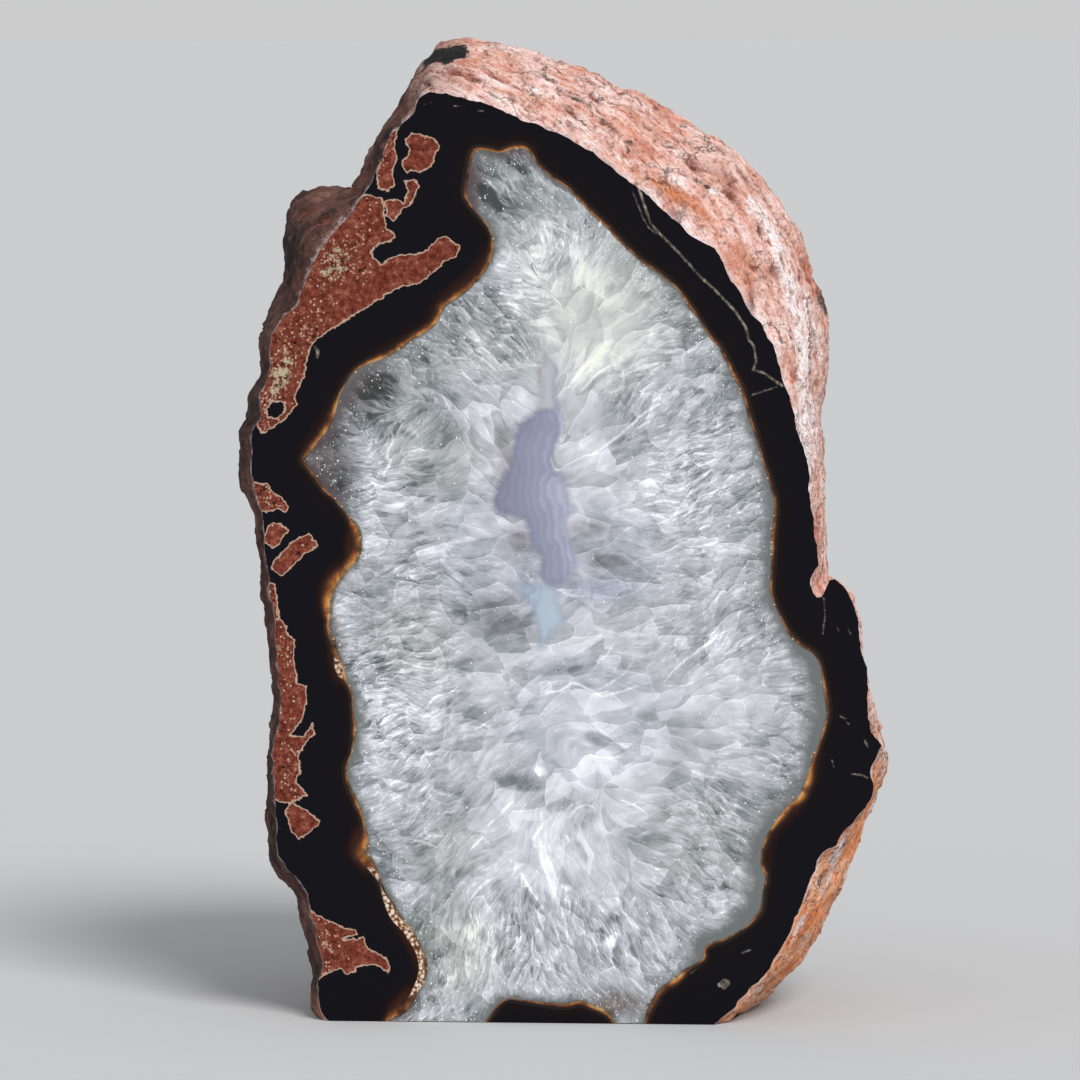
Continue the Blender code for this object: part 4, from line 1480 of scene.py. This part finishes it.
@dataclass(frozen=True)
class PolishedQuartz:
    """Milky vein quartz, lapped and polished: bright veils in clear grey, glossy and a little translucent."""

    ior: float = 1.544
    roughness: float = 0.12
    specular: float = 0.3
    scatter: float = 0.8
    rust_stops: tuple[tuple[float, str], ...] = (
        (0.00, "#070506"), (0.20, "#140A06"), (0.33, "#3C1C08"), (0.42, "#824816"), (0.50, "#B8742C"),
        (0.57, "#C29A62"), (0.65, "#7C7466"), (1.00, "#676B6C"),
    )
    growths: tuple[Growth, ...] = (
        Growth(19.0, (9.0, 4.4), (8.0, 1.6), 0.22, 0.08, 0.05, 0.12, 0.12, -0.10, False),
        Growth(9.0, (4.2, 1.7), (5.0, 0.85), 0.22, 0.08, 0.10, 0.16, 0.46, -0.22, True),
        Growth(5.0, (2.2, 0.9), (2.6, 0.36), 0.10, 0.05, 0.00, 0.00, 0.24, -0.08, True),
    )
    milk_stops: tuple[tuple[float, str], ...] = (
        (0.00, "#43484B"), (0.20, "#777D82"), (0.40, "#A1A6AC"), (0.60, "#C3C7CF"), (0.80, "#E6E9F0"),
        (1.00, "#FFFFFF"),
    )

    def material(self) -> bpy.types.Material:
        """Builds the finish from what the quartz's points carry."""
        finish = Finish("polished_milky_quartz", (
            "milk feathers lean_cosine lean_sine green smoke lilac rim rust_width border vein_side vein_half "
            "vein_lift crust pool_neck pool_body pool_tip"
        ))
        add, carried = finish.add, finish.carried
        milk = self.crystalline(finish)
        colour = add("ValToRGB", milk, stops=list(self.milk_stops))
        for name, tint, strength in (
            ("green", "#D9DCC6", 0.55), ("smoke", "#B7A19A", 0.75), ("lilac", "#C9C9E4", 0.5),
        ):
            share = add("Math MULTIPLY", carried[name], strength, use_clamp=True)
            colour = add("Mix MULTIPLY", share, colour, linear(tint))
        for layer in (self.with_sparkles, self.with_pool, self.with_rim):
            colour = layer(finish, colour)
        return finish.finished(colour, IOR=self.ior, Roughness=self.roughness, Specular_IOR_Level=self.specular)

    def crystalline(self, finish: Finish) -> Socket:
        """Breaks the milk up into crystals that lean with the grain, with fine fibres in them.

        The stone is parted into blocks, and the crystals of each block are cells drawn out along the lean, each
        painted lighter on one side like a lit facet.

        Args:
            finish: The finish in the making.

        Returns:
            How milky the quartz is.
        """
        add, carried, place = finish.add, finish.carried, finish.place
        parts = add("SeparateXYZ", place).node.outputs
        flat = add("CombineXYZ", parts["X"], parts["Z"])
        sway = add("TexNoise", flat, 210.0, 3.0, noise_dimensions="2D").node
        warp = add("VectorMath MULTIPLY_ADD", sway.outputs["Color"], (0.0045, 0.0045, 0.0), flat)
        ruffle = add("TexNoise", flat, 520.0, 2.0, noise_dimensions="2D").node
        ruffled = add("VectorMath MULTIPLY_ADD", ruffle.outputs["Color"], (0.0005, 0.0005, 0.0), flat)
        lean = add("Math ARCTAN2", carried["lean_sine"], carried["lean_cosine"])
        milk = carried["milk"]
        for growth in self.growths:
            block = add("TexVoronoi", warp, 1000.0 / growth.block, voronoi_dimensions="2D").node.outputs
            local = add("VectorMath SUBTRACT", ruffled, block["Position"])
            turn = add("SeparateColor", block["Color"], out="Green")
            turn = add("Math MULTIPLY_ADD", turn, self.scatter, -self.scatter / 2)
            turn = add("Math MULTIPLY_ADD", lean, -0.5, turn)
            local = add("VectorRotate", local, named={"Angle": turn}, rotation_type="Z_AXIS")
            shift = add("VectorMath SCALE", block["Color"], named={"Scale": 40.0})
            drawn = {}
            for name, size in (("crystal", growth.crystal), ("fibre", growth.fibre)):
                drawn[name] = add(
                    "VectorMath MULTIPLY_ADD", local, (1000.0 / size[0], 1000.0 / size[1], 0.0), shift
                )
            cell = add("TexVoronoi", drawn["crystal"], 1.0, voronoi_dimensions="2D").node.outputs
            off = add("VectorMath SUBTRACT", drawn["crystal"], cell["Position"])
            side = add("SeparateXYZ", off, out="Y")
            tone = add("SeparateColor", cell["Color"])
            fibres = add("TexNoise", drawn["fibre"], 1.0, 2.0, noise_dimensions="2D")
            bright = add("MapRange", fibres, 0.55, 0.78)
            dark = add("MapRange", fibres, 0.45, 0.22)
            # Fibres and seams come in patches, with clear crystals between
            patch = add("TexNoise", warp, 1500.0 / growth.block, 2.0, noise_dimensions="2D")
            patch = add("MapRange", patch, 0.4, 0.6)
            bright = add("Math MULTIPLY", bright, patch)
            # Painted shade across each crystal, lighter on one side like a lit facet
            parts_of_tone = [
                (tone, growth.tone), (side, growth.bevel), (bright, growth.bright), (dark, growth.dark),
            ]
            if growth.seam > 0:
                seam = add("TexVoronoi DISTANCE_TO_EDGE", drawn["crystal"], 1.0, voronoi_dimensions="2D")
                seam = add("MapRange", seam, growth.seam, 0.0)
                # Each seam is a painted highlight, on its crystal's lit side only
                lit = add("MapRange", side, -0.1, 0.25)
                seam = add("Math MULTIPLY", seam, lit)
                parts_of_tone.append((seam, growth.seam_lift))
            total = 0.0
            for value, gain in parts_of_tone:
                total = add("Math MULTIPLY_ADD", value, gain, total)
            evened = add("Math SUBTRACT", total, growth.evening())
            share = carried["feathers"] if growth.feathery else 1.0
            milk = add("Math MULTIPLY_ADD", evened, share, milk)
        ragged = add("TexNoise", flat, 1100.0, 2.0, noise_dimensions="2D").node
        reach = add("Math ABSOLUTE", carried["vein_side"])
        reach = add("Math SUBTRACT", carried["vein_half"], reach)
        reach = add("Math MULTIPLY_ADD", ragged.outputs["Fac"], 0.7, reach)
        vein = add("MapRange", reach, 0.16, 0.6)
        return add("Math MULTIPLY_ADD", vein, carried["vein_lift"], milk)

    def with_sparkles(self, finish: Finish, colour: Socket) -> Socket:
        """Sprinkles bright specks, a third of a millimetre across, mostly along the quartz's border.

        Args:
            finish: The finish in the making.
            colour: The quartz's colour.

        Returns:
            The colour with the specks in it.
        """
        add, carried, place = finish.add, finish.carried, finish.place
        torn = add("TexNoise", place, 2200.0, 1.0)
        specks = add("TexVoronoi", place, 1500.0).node
        luck = add("SeparateColor", specks.outputs["Color"]).node.outputs
        size = add("Math MULTIPLY_ADD", luck["Green"], 0.38, -0.12)
        size = add("Math MULTIPLY_ADD", torn, 0.5, size)
        luck = luck["Red"]
        border = add(
            "ValToRGB", add("MapRange", carried["rim"], 0.0, 20.0),
            stops=[
                (0.05, "#000000"), (0.09, "#B8B8B8"), (0.3, "#989898"), (0.5, "#404040"), (1.0, "#303030")
            ],
        )
        lucky = add("Math LESS_THAN", luck, border)
        size = add("Math SUBTRACT", size, specks.outputs["Distance"])
        core = add("MapRange", size, 0.0, 0.12)
        share = add("Math MULTIPLY", core, lucky)
        share = add("Math MULTIPLY", share, 0.78)
        return add("Mix", share, colour, linear("#F4F6FA"))

    def with_pool(self, finish: Finish, colour: Socket) -> Socket:
        """Lays the chalcedony pool over the quartz.

        Args:
            finish: The finish in the making.
            colour: The quartz's colour.

        Returns:
            The colour with the pool in it.
        """
        add, carried, place = finish.add, finish.carried, finish.place
        waver = add("TexNoise", place, 85.0, 3.0)
        fray = add("TexNoise", place, 700.0, 3.0)
        rightward = add("SeparateXYZ", place)
        rightward = add("Math MULTIPLY", rightward, 1.0 / METRES_PER_MM)
        # Wavy bands run down the pool, about 2 mm apart
        bands = add("Math MULTIPLY_ADD", waver, 13.0, rightward)
        bands = add("Math MULTIPLY", bands, 2.9)
        bands = add("Math SINE", bands)
        bands = add("Math MULTIPLY_ADD", bands, 0.07, waver)
        pools = (
            ("pool_neck", -5.5, 1.5, [(0.0, "#A0949A"), (0.3, "#B4B4BA"), (0.7, "#B0B1BC"), (1.0, "#9C9BB0")]),
            ("pool_body", -15.5, 7.5, [(0.0, "#7C7890"), (0.35, "#868A9F"), (0.6, "#8F93A9"), (0.8, "#A3A7BB"),
                                       (1.0, "#B0B5C4")]),
            ("pool_tip", -10.0, 3.5, [(0.0, "#A6AEBC"), (0.25, "#94A2B8"), (0.38, "#A6B5C6"), (0.8, "#ACBBC8"),
                                      (1.0, "#98A8BC")]),
        )
        for name, left, right, stops in pools:
            frayed = add("Math MULTIPLY_ADD", fray, 2.0, carried[name])
            inside = add("MapRange SMOOTHSTEP", frayed, 0.2, 2.8)
            share = add("MapRange", rightward, left, right)
            share = add("Math MULTIPLY_ADD", bands, 0.9, share)
            share = add("Math SUBTRACT", share, 0.45)
            pool = add("ValToRGB", share, stops=stops)
            edge = add("MapRange", frayed, 3.2, 1.6)
            edge = add("Math MULTIPLY", edge, 0.28)
            pool = add("Mix MULTIPLY", edge, pool, linear("#8C8698"))
            colour = add("Mix", inside, colour, pool)
        return colour

    def with_rim(self, finish: Finish, colour: Socket) -> Socket:
        """Lays the grey translucent border and the rust line over the quartz's edge.

        Args:
            finish: The finish in the making.
            colour: The quartz's colour.

        Returns:
            The colour with its border.
        """
        add, carried, place = finish.add, finish.carried, finish.place
        waver = add("TexNoise", place, 330.0, 3.0)
        swayed = add("Math MULTIPLY_ADD", waver, 0.6, carried["rim"])
        depth = add("Math SUBTRACT", swayed, 0.3)
        torn = add("TexNoise", place, 700.0, 3.0)
        frayed = add("Math MULTIPLY_ADD", torn, 3.2, depth)
        frayed = add("Math SUBTRACT", frayed, 1.6)
        frayed = add("Math DIVIDE", frayed, carried["border"])
        clear = add("MapRange", frayed, 1.0, 3.2)
        glassy = add("Mix", carried["smoke"], linear("#676B6C"), linear("#4C3F43"))
        border = add("Mix", clear, glassy, colour)
        thinned = add("Math DIVIDE", depth, carried["rust_width"])
        share = add("MapRange", thinned, -0.8, 1.3)
        rust = add("ValToRGB", share, stops=list(self.rust_stops))
        patchy = add("TexNoise", place, 190.0, 4.0, 0.65).node
        patchy = add(
            "ValToRGB", patchy.outputs["Fac"], stops=[(0.34, "#4C3A30"), (0.5, "#B09A8C"), (0.62, "#FFFFFF")]
        )
        rust = add("Mix MULTIPLY", 1.0, rust, patchy)
        # Where the line is thin it is a dull brown, and where it swells it is clear orange
        dull = add("MapRange", carried["rust_width"], 1.9, 0.9, named={"To Max": 0.55})
        rust = add("Mix MULTIPLY", dull, rust, linear("#A08C80"))
        done = add("MapRange SMOOTHSTEP", thinned, 0.5, 0.85)
        colour = add("Mix", done, rust, border)
        # Beige dots, under half a millimetre across, along the line's inner side
        dots = add("TexVoronoi", place, 1300.0).node.outputs
        dot = add("MapRange", dots["Distance"], 0.36, 0.2)
        chosen = add("SeparateColor", dots["Color"])
        chosen = add("Math LESS_THAN", chosen, 0.2)
        dot = add("Math MULTIPLY", dot, chosen)
        along = add("Math COMPARE", thinned, 0.75, 0.3)
        dot = add("Math MULTIPLY", dot, along)
        colour = add("Mix", dot, colour, linear("#C8B294"))
        # A crust of pale beads with brown gaps, each about half a millimetre across
        beads = add("TexVoronoi", place, 1000.0, named={"Randomness": 0.9}).node
        crust = add(
            "ValToRGB", beads.outputs["Distance"],
            stops=[(0.3, "#DCCFC2"), (0.46, "#BFA68E"), (0.58, "#8A6040"), (0.72, "#4A2E1A")],
        )
        reach = add("Math ABSOLUTE", carried["rim"])
        reach = add("Math MULTIPLY_ADD", beads.outputs["Distance"], -0.8, reach)
        reach = add("Math SUBTRACT", carried["crust"], reach)
        share = add("MapRange", reach, 0.0, 0.3)
        return add("Mix", share, colour, crust)


@dataclass(frozen=True)
class PolishedAgate:
    """Near-black agate, lapped and polished like the quartz, with dull red-brown rock healed into it."""

    ior: float = 1.54
    roughness: float = 0.1
    specular: float = 0.12

    def material(self) -> bpy.types.Material:
        """Builds the finish from what the agate's points carry."""
        finish = Finish("polished_black_agate", "jasper crack off_quartz rust_width cream")
        add, carried, place = finish.add, finish.carried, finish.place
        fray = add("TexNoise", place, 800.0, 4.0)
        reddened = add("MapRange", carried["off_quartz"], 3.5, 0.6)
        black = add("Mix", reddened, linear("#07050E"), linear("#120604"))
        depth = add("Math MULTIPLY_ADD", fray, 1.7, carried["jasper"])
        depth = add("Math SUBTRACT", depth, 0.85)
        mottle = add("TexNoise", place, 700.0, 6.0, 0.72)
        rock = add(
            "ValToRGB", mottle,
            stops=[(0.32, "#3A1610"), (0.45, "#652B1F"), (0.56, "#7C4030"), (0.68, "#A26A58")],
        )
        # Dark pores and pale crumbs under a millimetre across, thicker where the rock is rotten
        grit = add("TexNoise", place, 1000.0, 2.0, 0.45)
        floor = add("Math MULTIPLY_ADD", carried["cream"], -0.1, 0.68)
        grit = add("Math SUBTRACT", grit, floor)
        share = add("MapRange", grit, 0.0, 0.06)
        rock = add("Mix", share, rock, linear("#1C0E0C"))
        bent = add(
            "VectorMath MULTIPLY_ADD", add("TexNoise", place, 1500.0, 1.0, out="Color"),
            (0.0008, 0.0008, 0.0008), place,
        )
        crumbs = add("TexVoronoi", bent, 1200.0).node.outputs
        crumb = add(
            "ValToRGB", crumbs["Distance"],
            stops=[(0.12, "#C8AC9A"), (0.30, "#A47A68"), (0.42, "#7C4838"), (0.52, "#5A2A20")],
        )
        chosen = add("SeparateColor", crumbs["Color"])
        rotten = add("Math MULTIPLY_ADD", carried["cream"], 0.62, 0.04)
        chosen = add("Math LESS_THAN", chosen, rotten)
        share = add("MapRange", crumbs["Distance"], 0.62, 0.5)
        share = add("Math MULTIPLY", share, chosen)
        rock = add("Mix", share, rock, crumb)
        # Greenish cream patches where it is rotten through
        patch = add("Math MULTIPLY_ADD", carried["cream"], 0.2, mottle)
        share = add("MapRange", patch, 0.72, 0.82)
        rock = add("Mix", share, rock, linear("#B0A58C"))
        lined = add(
            "ValToRGB", add("MapRange", depth, 0.0, 0.8),
            stops=[(0.0, "#FFFFFF"), (0.4, "#FFFFFF"), (0.6, "#000000")],
        )
        rock = add("Mix", lined, rock, linear("#B59A88"))
        in_rock = add("MapRange", depth, 0.0, 0.18)
        # Thin rust-stained agate glows brown beside the swellings of the rust line
        glow = add("MapRange", carried["off_quartz"], 3.2, 0.7)
        glow = add("Math MULTIPLY", glow, carried["rust_width"])
        glow = add("Math MULTIPLY", glow, 0.16, use_clamp=True)
        black = add("Mix", glow, black, linear("#5A2A0C"))
        colour = add("Mix", in_rock, black, rock)
        ragged = add("Math MULTIPLY_ADD", fray, 0.5, carried["crack"])
        in_crack = add("MapRange", ragged, 0.38, 0.14)
        healed = add("ValToRGB", mottle, stops=[(0.4, "#38342F"), (0.5, "#645D55"), (0.62, "#958B7E")])
        colour = add("Mix", in_crack, colour, healed)
        return finish.finished(colour, IOR=self.ior, Roughness=self.roughness, Specular_IOR_Level=self.specular)


@dataclass(frozen=True)
class WeatheredRind:
    """The natural crust, never cut: chalky, dull and mottled, with painted shade in its pocks."""

    roughness: float = 0.85

    def material(self) -> bpy.types.Material:
        """Builds the finish from what the rind's points carry."""
        finish = Finish("weathered_rind", "pock salmon orange chip streak_u streak_v frost stain shade")
        add, carried, place = finish.add, finish.carried, finish.place
        behind = add("SeparateXYZ", place, out="Y")
        behind = add("MapRange", behind, (GIRTH_Y + 2) * METRES_PER_MM, (GIRTH_Y + 24) * METRES_PER_MM)
        streaks = self.streaks(finish, behind, 12.0, 2.4)
        hairs = self.streaks(finish, behind, 4.6, 0.8)
        broad = add("TexNoise", place, 62.0, 4.0, 0.62)
        fine = add("TexNoise", place, 420.0, 5.0, 0.7)
        patched = add("Math ADD", broad, streaks)
        patched = add("Math MULTIPLY", patched, 0.5)
        salmon = add(
            "ValToRGB", patched,
            stops=[
                (0.36, "#C2765C"), (0.44, "#DCA492"), (0.50, "#E8BEB4"), (0.56, "#F0D2CC"), (0.64, "#FAEEEC")],
        )
        orange = add(
            "ValToRGB", broad,
            stops=[(0.3, "#D2703E"), (0.44, "#F2A06C"), (0.54, "#F8BC98"), (0.66, "#FFEDE2")],
        )
        # The dark brown crust, partly painted shade on the stone's left side
        umber = add(
            "ValToRGB", broad,
            stops=[(0.3, "#221614"), (0.45, "#3C2420"), (0.56, "#5E3A30"), (0.68, "#846258")],
        )
        colour = add("Mix", carried["salmon"], umber, salmon)
        colour = add("Mix", carried["orange"], colour, orange)
        pale = add("Math ADD", carried["salmon"], carried["orange"])
        pale = add("MapRange", pale, 0.0, 1.0, 0.3)
        # Iron stains, and white crust that is partly painted light on the right flank
        for name, tint in (("stain", "#CF8660"), ("frost", "#FAF0F1")):
            torn = add("Math MULTIPLY_ADD", hairs, 1.6, carried[name])
            torn = add("Math MULTIPLY_ADD", fine, 1.6, torn)
            share = add("MapRange SMOOTHSTEP", torn, 1.7, 2.7)
            share = add("Math MULTIPLY", share, pale)
            colour = add("Mix", share, colour, linear(tint))
        # Darker fine streaks and crumbs, where the fine relief is low
        for spread, stops in (
            (hairs, [(0.28, "#9A6A5C"), (0.39, "#E4CEC6"), (0.46, "#FFFFFF"), (0.70, "#FFFFFF")]),
            (fine, [(0.32, "#8E665A"), (0.42, "#E6D8D2"), (0.48, "#FFFFFF"), (0.70, "#FFFFFF")]),
        ):
            speckle = add("ValToRGB", spread, stops=stops)
            colour = add("Mix MULTIPLY", 0.8, colour, speckle)
        # Thin crooked cracks in the crust, drawn out the way its streaks run, one or two centimetres apart
        bent = add("TexNoise", place, 170.0, 4.0, 0.65).node
        flow = add("CombineXYZ", carried["streak_u"], carried["streak_v"])
        flow = add("VectorMath MULTIPLY", flow, (0.045, 0.11, 1.0))
        bent = add("VectorMath MULTIPLY_ADD", bent.outputs["Color"], (0.9, 0.9, 0.0), flow)
        cracks = add("TexVoronoi DISTANCE_TO_EDGE", bent, 1.0, voronoi_dimensions="2D")
        open_crack = add("MapRange", broad, 0.42, 0.62)
        open_crack = add("Math MULTIPLY", open_crack, 0.03)
        in_crack = add("Math SUBTRACT", open_crack, cracks)
        in_crack = add("MapRange", in_crack, 0.0, 0.02)
        in_crack = add("Math MULTIPLY", in_crack, add("Math SUBTRACT", 1.0, behind))
        share = add("Math MULTIPLY", in_crack, 0.7)
        colour = add("Mix", share, colour, linear("#5C382E"))
        # Painted shade in the pocks where the relief sinks, and along the dark ledge lines
        for name, tint in (("pock", "#80483A"), ("shade", "#4A3330")):
            torn = add("Math MULTIPLY_ADD", fine, 3.0, carried[name])
            share = add("MapRange", torn, 1.6, 2.5)
            colour = add("Mix", share, colour, linear(tint))
        back = add("SeparateXYZ", place, out="Y")
        back = add("Math MULTIPLY_ADD", back, 1.0 / METRES_PER_MM, -FACE_Y)
        back = add("Math MULTIPLY_ADD", fine, -5.0, back)
        share = add("MapRange", back, -1.8, -3.0)
        share = add("Math MULTIPLY", share, 0.6)
        colour = add("Mix", share, colour, linear("#D8D0D4"))
        chipped = add("Math MULTIPLY_ADD", fine, 6.0, carried["chip"])
        chipped = add("MapRange", chipped, 2.7, 3.4)
        colour = add("Mix", chipped, colour, linear("#0C0A0B"))
        relief = add("Math ADD", fine, hairs)
        relief = add("Math MULTIPLY_ADD", in_crack, -0.4, relief)
        bump = add("Bump", named={"Height": relief, "Strength": 0.9, "Distance": 0.0014})
        finish.tree.links.new(bump, finish.shader.inputs["Normal"])
        return finish.finished(colour, Roughness=self.roughness)

    @staticmethod
    def streaks(finish: Finish, behind: Socket, length: float, width: float) -> Socket:
        """Noise drawn out into slanting streaks on the stone's front half, and plain behind it.

        Args:
            finish: The finish in the making.
            behind: 0 on the front half and 1 behind it.
            length: A streak's length in millimetres.
            width: Its width.

        Returns:
            The noise.
        """
        add, carried = finish.add, finish.carried
        u = add("Math DIVIDE", carried["streak_u"], length)
        v = add("Math DIVIDE", carried["streak_v"], width)
        place = add("CombineXYZ", u, v, length)
        drawn = add("TexNoise", place, 1.0, 4.0, 0.6)
        plain = add("TexNoise", finish.place, 0.6 / (width * METRES_PER_MM), 4.0, 0.6)
        return add("Mix", behind, drawn, plain)


@dataclass(frozen=True)
class SawnStone:
    """The foot, sawn and not polished: matt and greyed by the blade."""

    roughness: float = 0.6

    def material(self) -> bpy.types.Material:
        """Builds the finish from what the foot's points carry."""
        finish = Finish("sawn_agate", "inward quartz")
        add = finish.add
        share = add("MapRange", finish.carried["inward"], 0.0, 6.0)
        band = add(
            "ValToRGB", share,
            stops=[(0.0, "#A8795F"), (0.22, "#A8795F"), (0.34, "#2A211F"), (1.0, "#201F23")],
        )
        white = add("MapRange", finish.carried["quartz"], -0.4, 1.2)
        heart = add(
            "ValToRGB", white,
            stops=[(0.0, "#201F23"), (0.25, "#8A5526"), (0.55, "#9FA3A6"), (1.0, "#C4C9CE")],
        )
        started = add("Math GREATER_THAN", white, 0.02)
        colour = add("Mix", started, band, heart)
        return finish.finished(colour, Roughness=self.roughness)


@dataclass
class Sunlight:
    """A broad soft lamp so far off that it lights the floor evenly. Angles are in degrees."""

    name: str
    azimuth: float
    elevation: float
    breadth: float
    power: float
    colour: str = "#FFFFFF"

    def build(self) -> bpy.types.Object:
        """Hangs the lamp, azimuth to the right of the polished face's front."""
        data = bpy.data.lights.new(self.name, "SUN")
        data.angle = math.radians(self.breadth)
        data.energy = self.power
        data.color = linear(self.colour)[:3]
        lamp = bpy.data.objects.new(self.name, data)
        tilt = (math.radians(90.0 - self.elevation), 0.0, math.radians(self.azimuth))
        lamp.rotation_euler = tilt
        bpy.context.scene.collection.objects.link(lamp)
        return lamp


@dataclass
class Studio:
    """A pale plain floor under soft even light. Sizes are in metres."""

    sight: Sight
    floor_radius: float = 60.0
    floor_colour: str = "#B5B7BA"
    air_colour: str = "#FAFAFB"
    air_strength: float = 0.63
    lamps: tuple[Sunlight, ...] = (
        Sunlight("key", 35.0, 46.0, 22.0, 2.9, "#FFFCF8"),
    )

    def floor(self) -> bpy.types.Object:
        """Lays the floor."""
        disc = bmesh.new()
        bmesh.ops.create_circle(disc, cap_ends=True, segments=128, radius=self.floor_radius)
        mesh = bpy.data.meshes.new("studio_floor")
        disc.to_mesh(mesh)
        disc.free()
        paper = Finish("matt_paper_floor")
        paper.shader.inputs["Base Color"].default_value = linear(self.floor_colour)
        paper.shader.inputs["Roughness"].default_value = 0.9
        mesh.materials.append(paper.material)
        floor = bpy.data.objects.new("studio_floor", mesh)
        bpy.context.scene.collection.objects.link(floor)
        return floor

    def air(self) -> None:
        """Fills the studio with even pale light."""
        world = bpy.data.worlds.new("studio_air")
        world.use_nodes = True
        background = world.node_tree.nodes["Background"]
        background.inputs["Color"].default_value = linear(self.air_colour)
        background.inputs["Strength"].default_value = self.air_strength
        bpy.context.scene.world = world

    def build(self) -> None:
        """Sets the floor, the light and the camera."""
        self.floor()
        self.air()
        for lamp in self.lamps:
            lamp.build()
        self.sight.camera()
        bpy.context.scene.view_settings.view_transform = "Standard"


def main() -> None:
    """Builds the stone and the studio, piece by piece."""
    logging.basicConfig(level=logging.INFO, format="%(message)s")
    sight = Sight()
    rind = Rind(sight)
    face = Face(sight, rind.face_ring)
    crust = rind.build()
    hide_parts(STONE_NODE)
    AgateBand(sight, face).build()
    QuartzHeart(sight, face).build()
    SawnFoot(crust, face).build()
    Studio(sight).build()


if __name__ == "__main__":
    main()
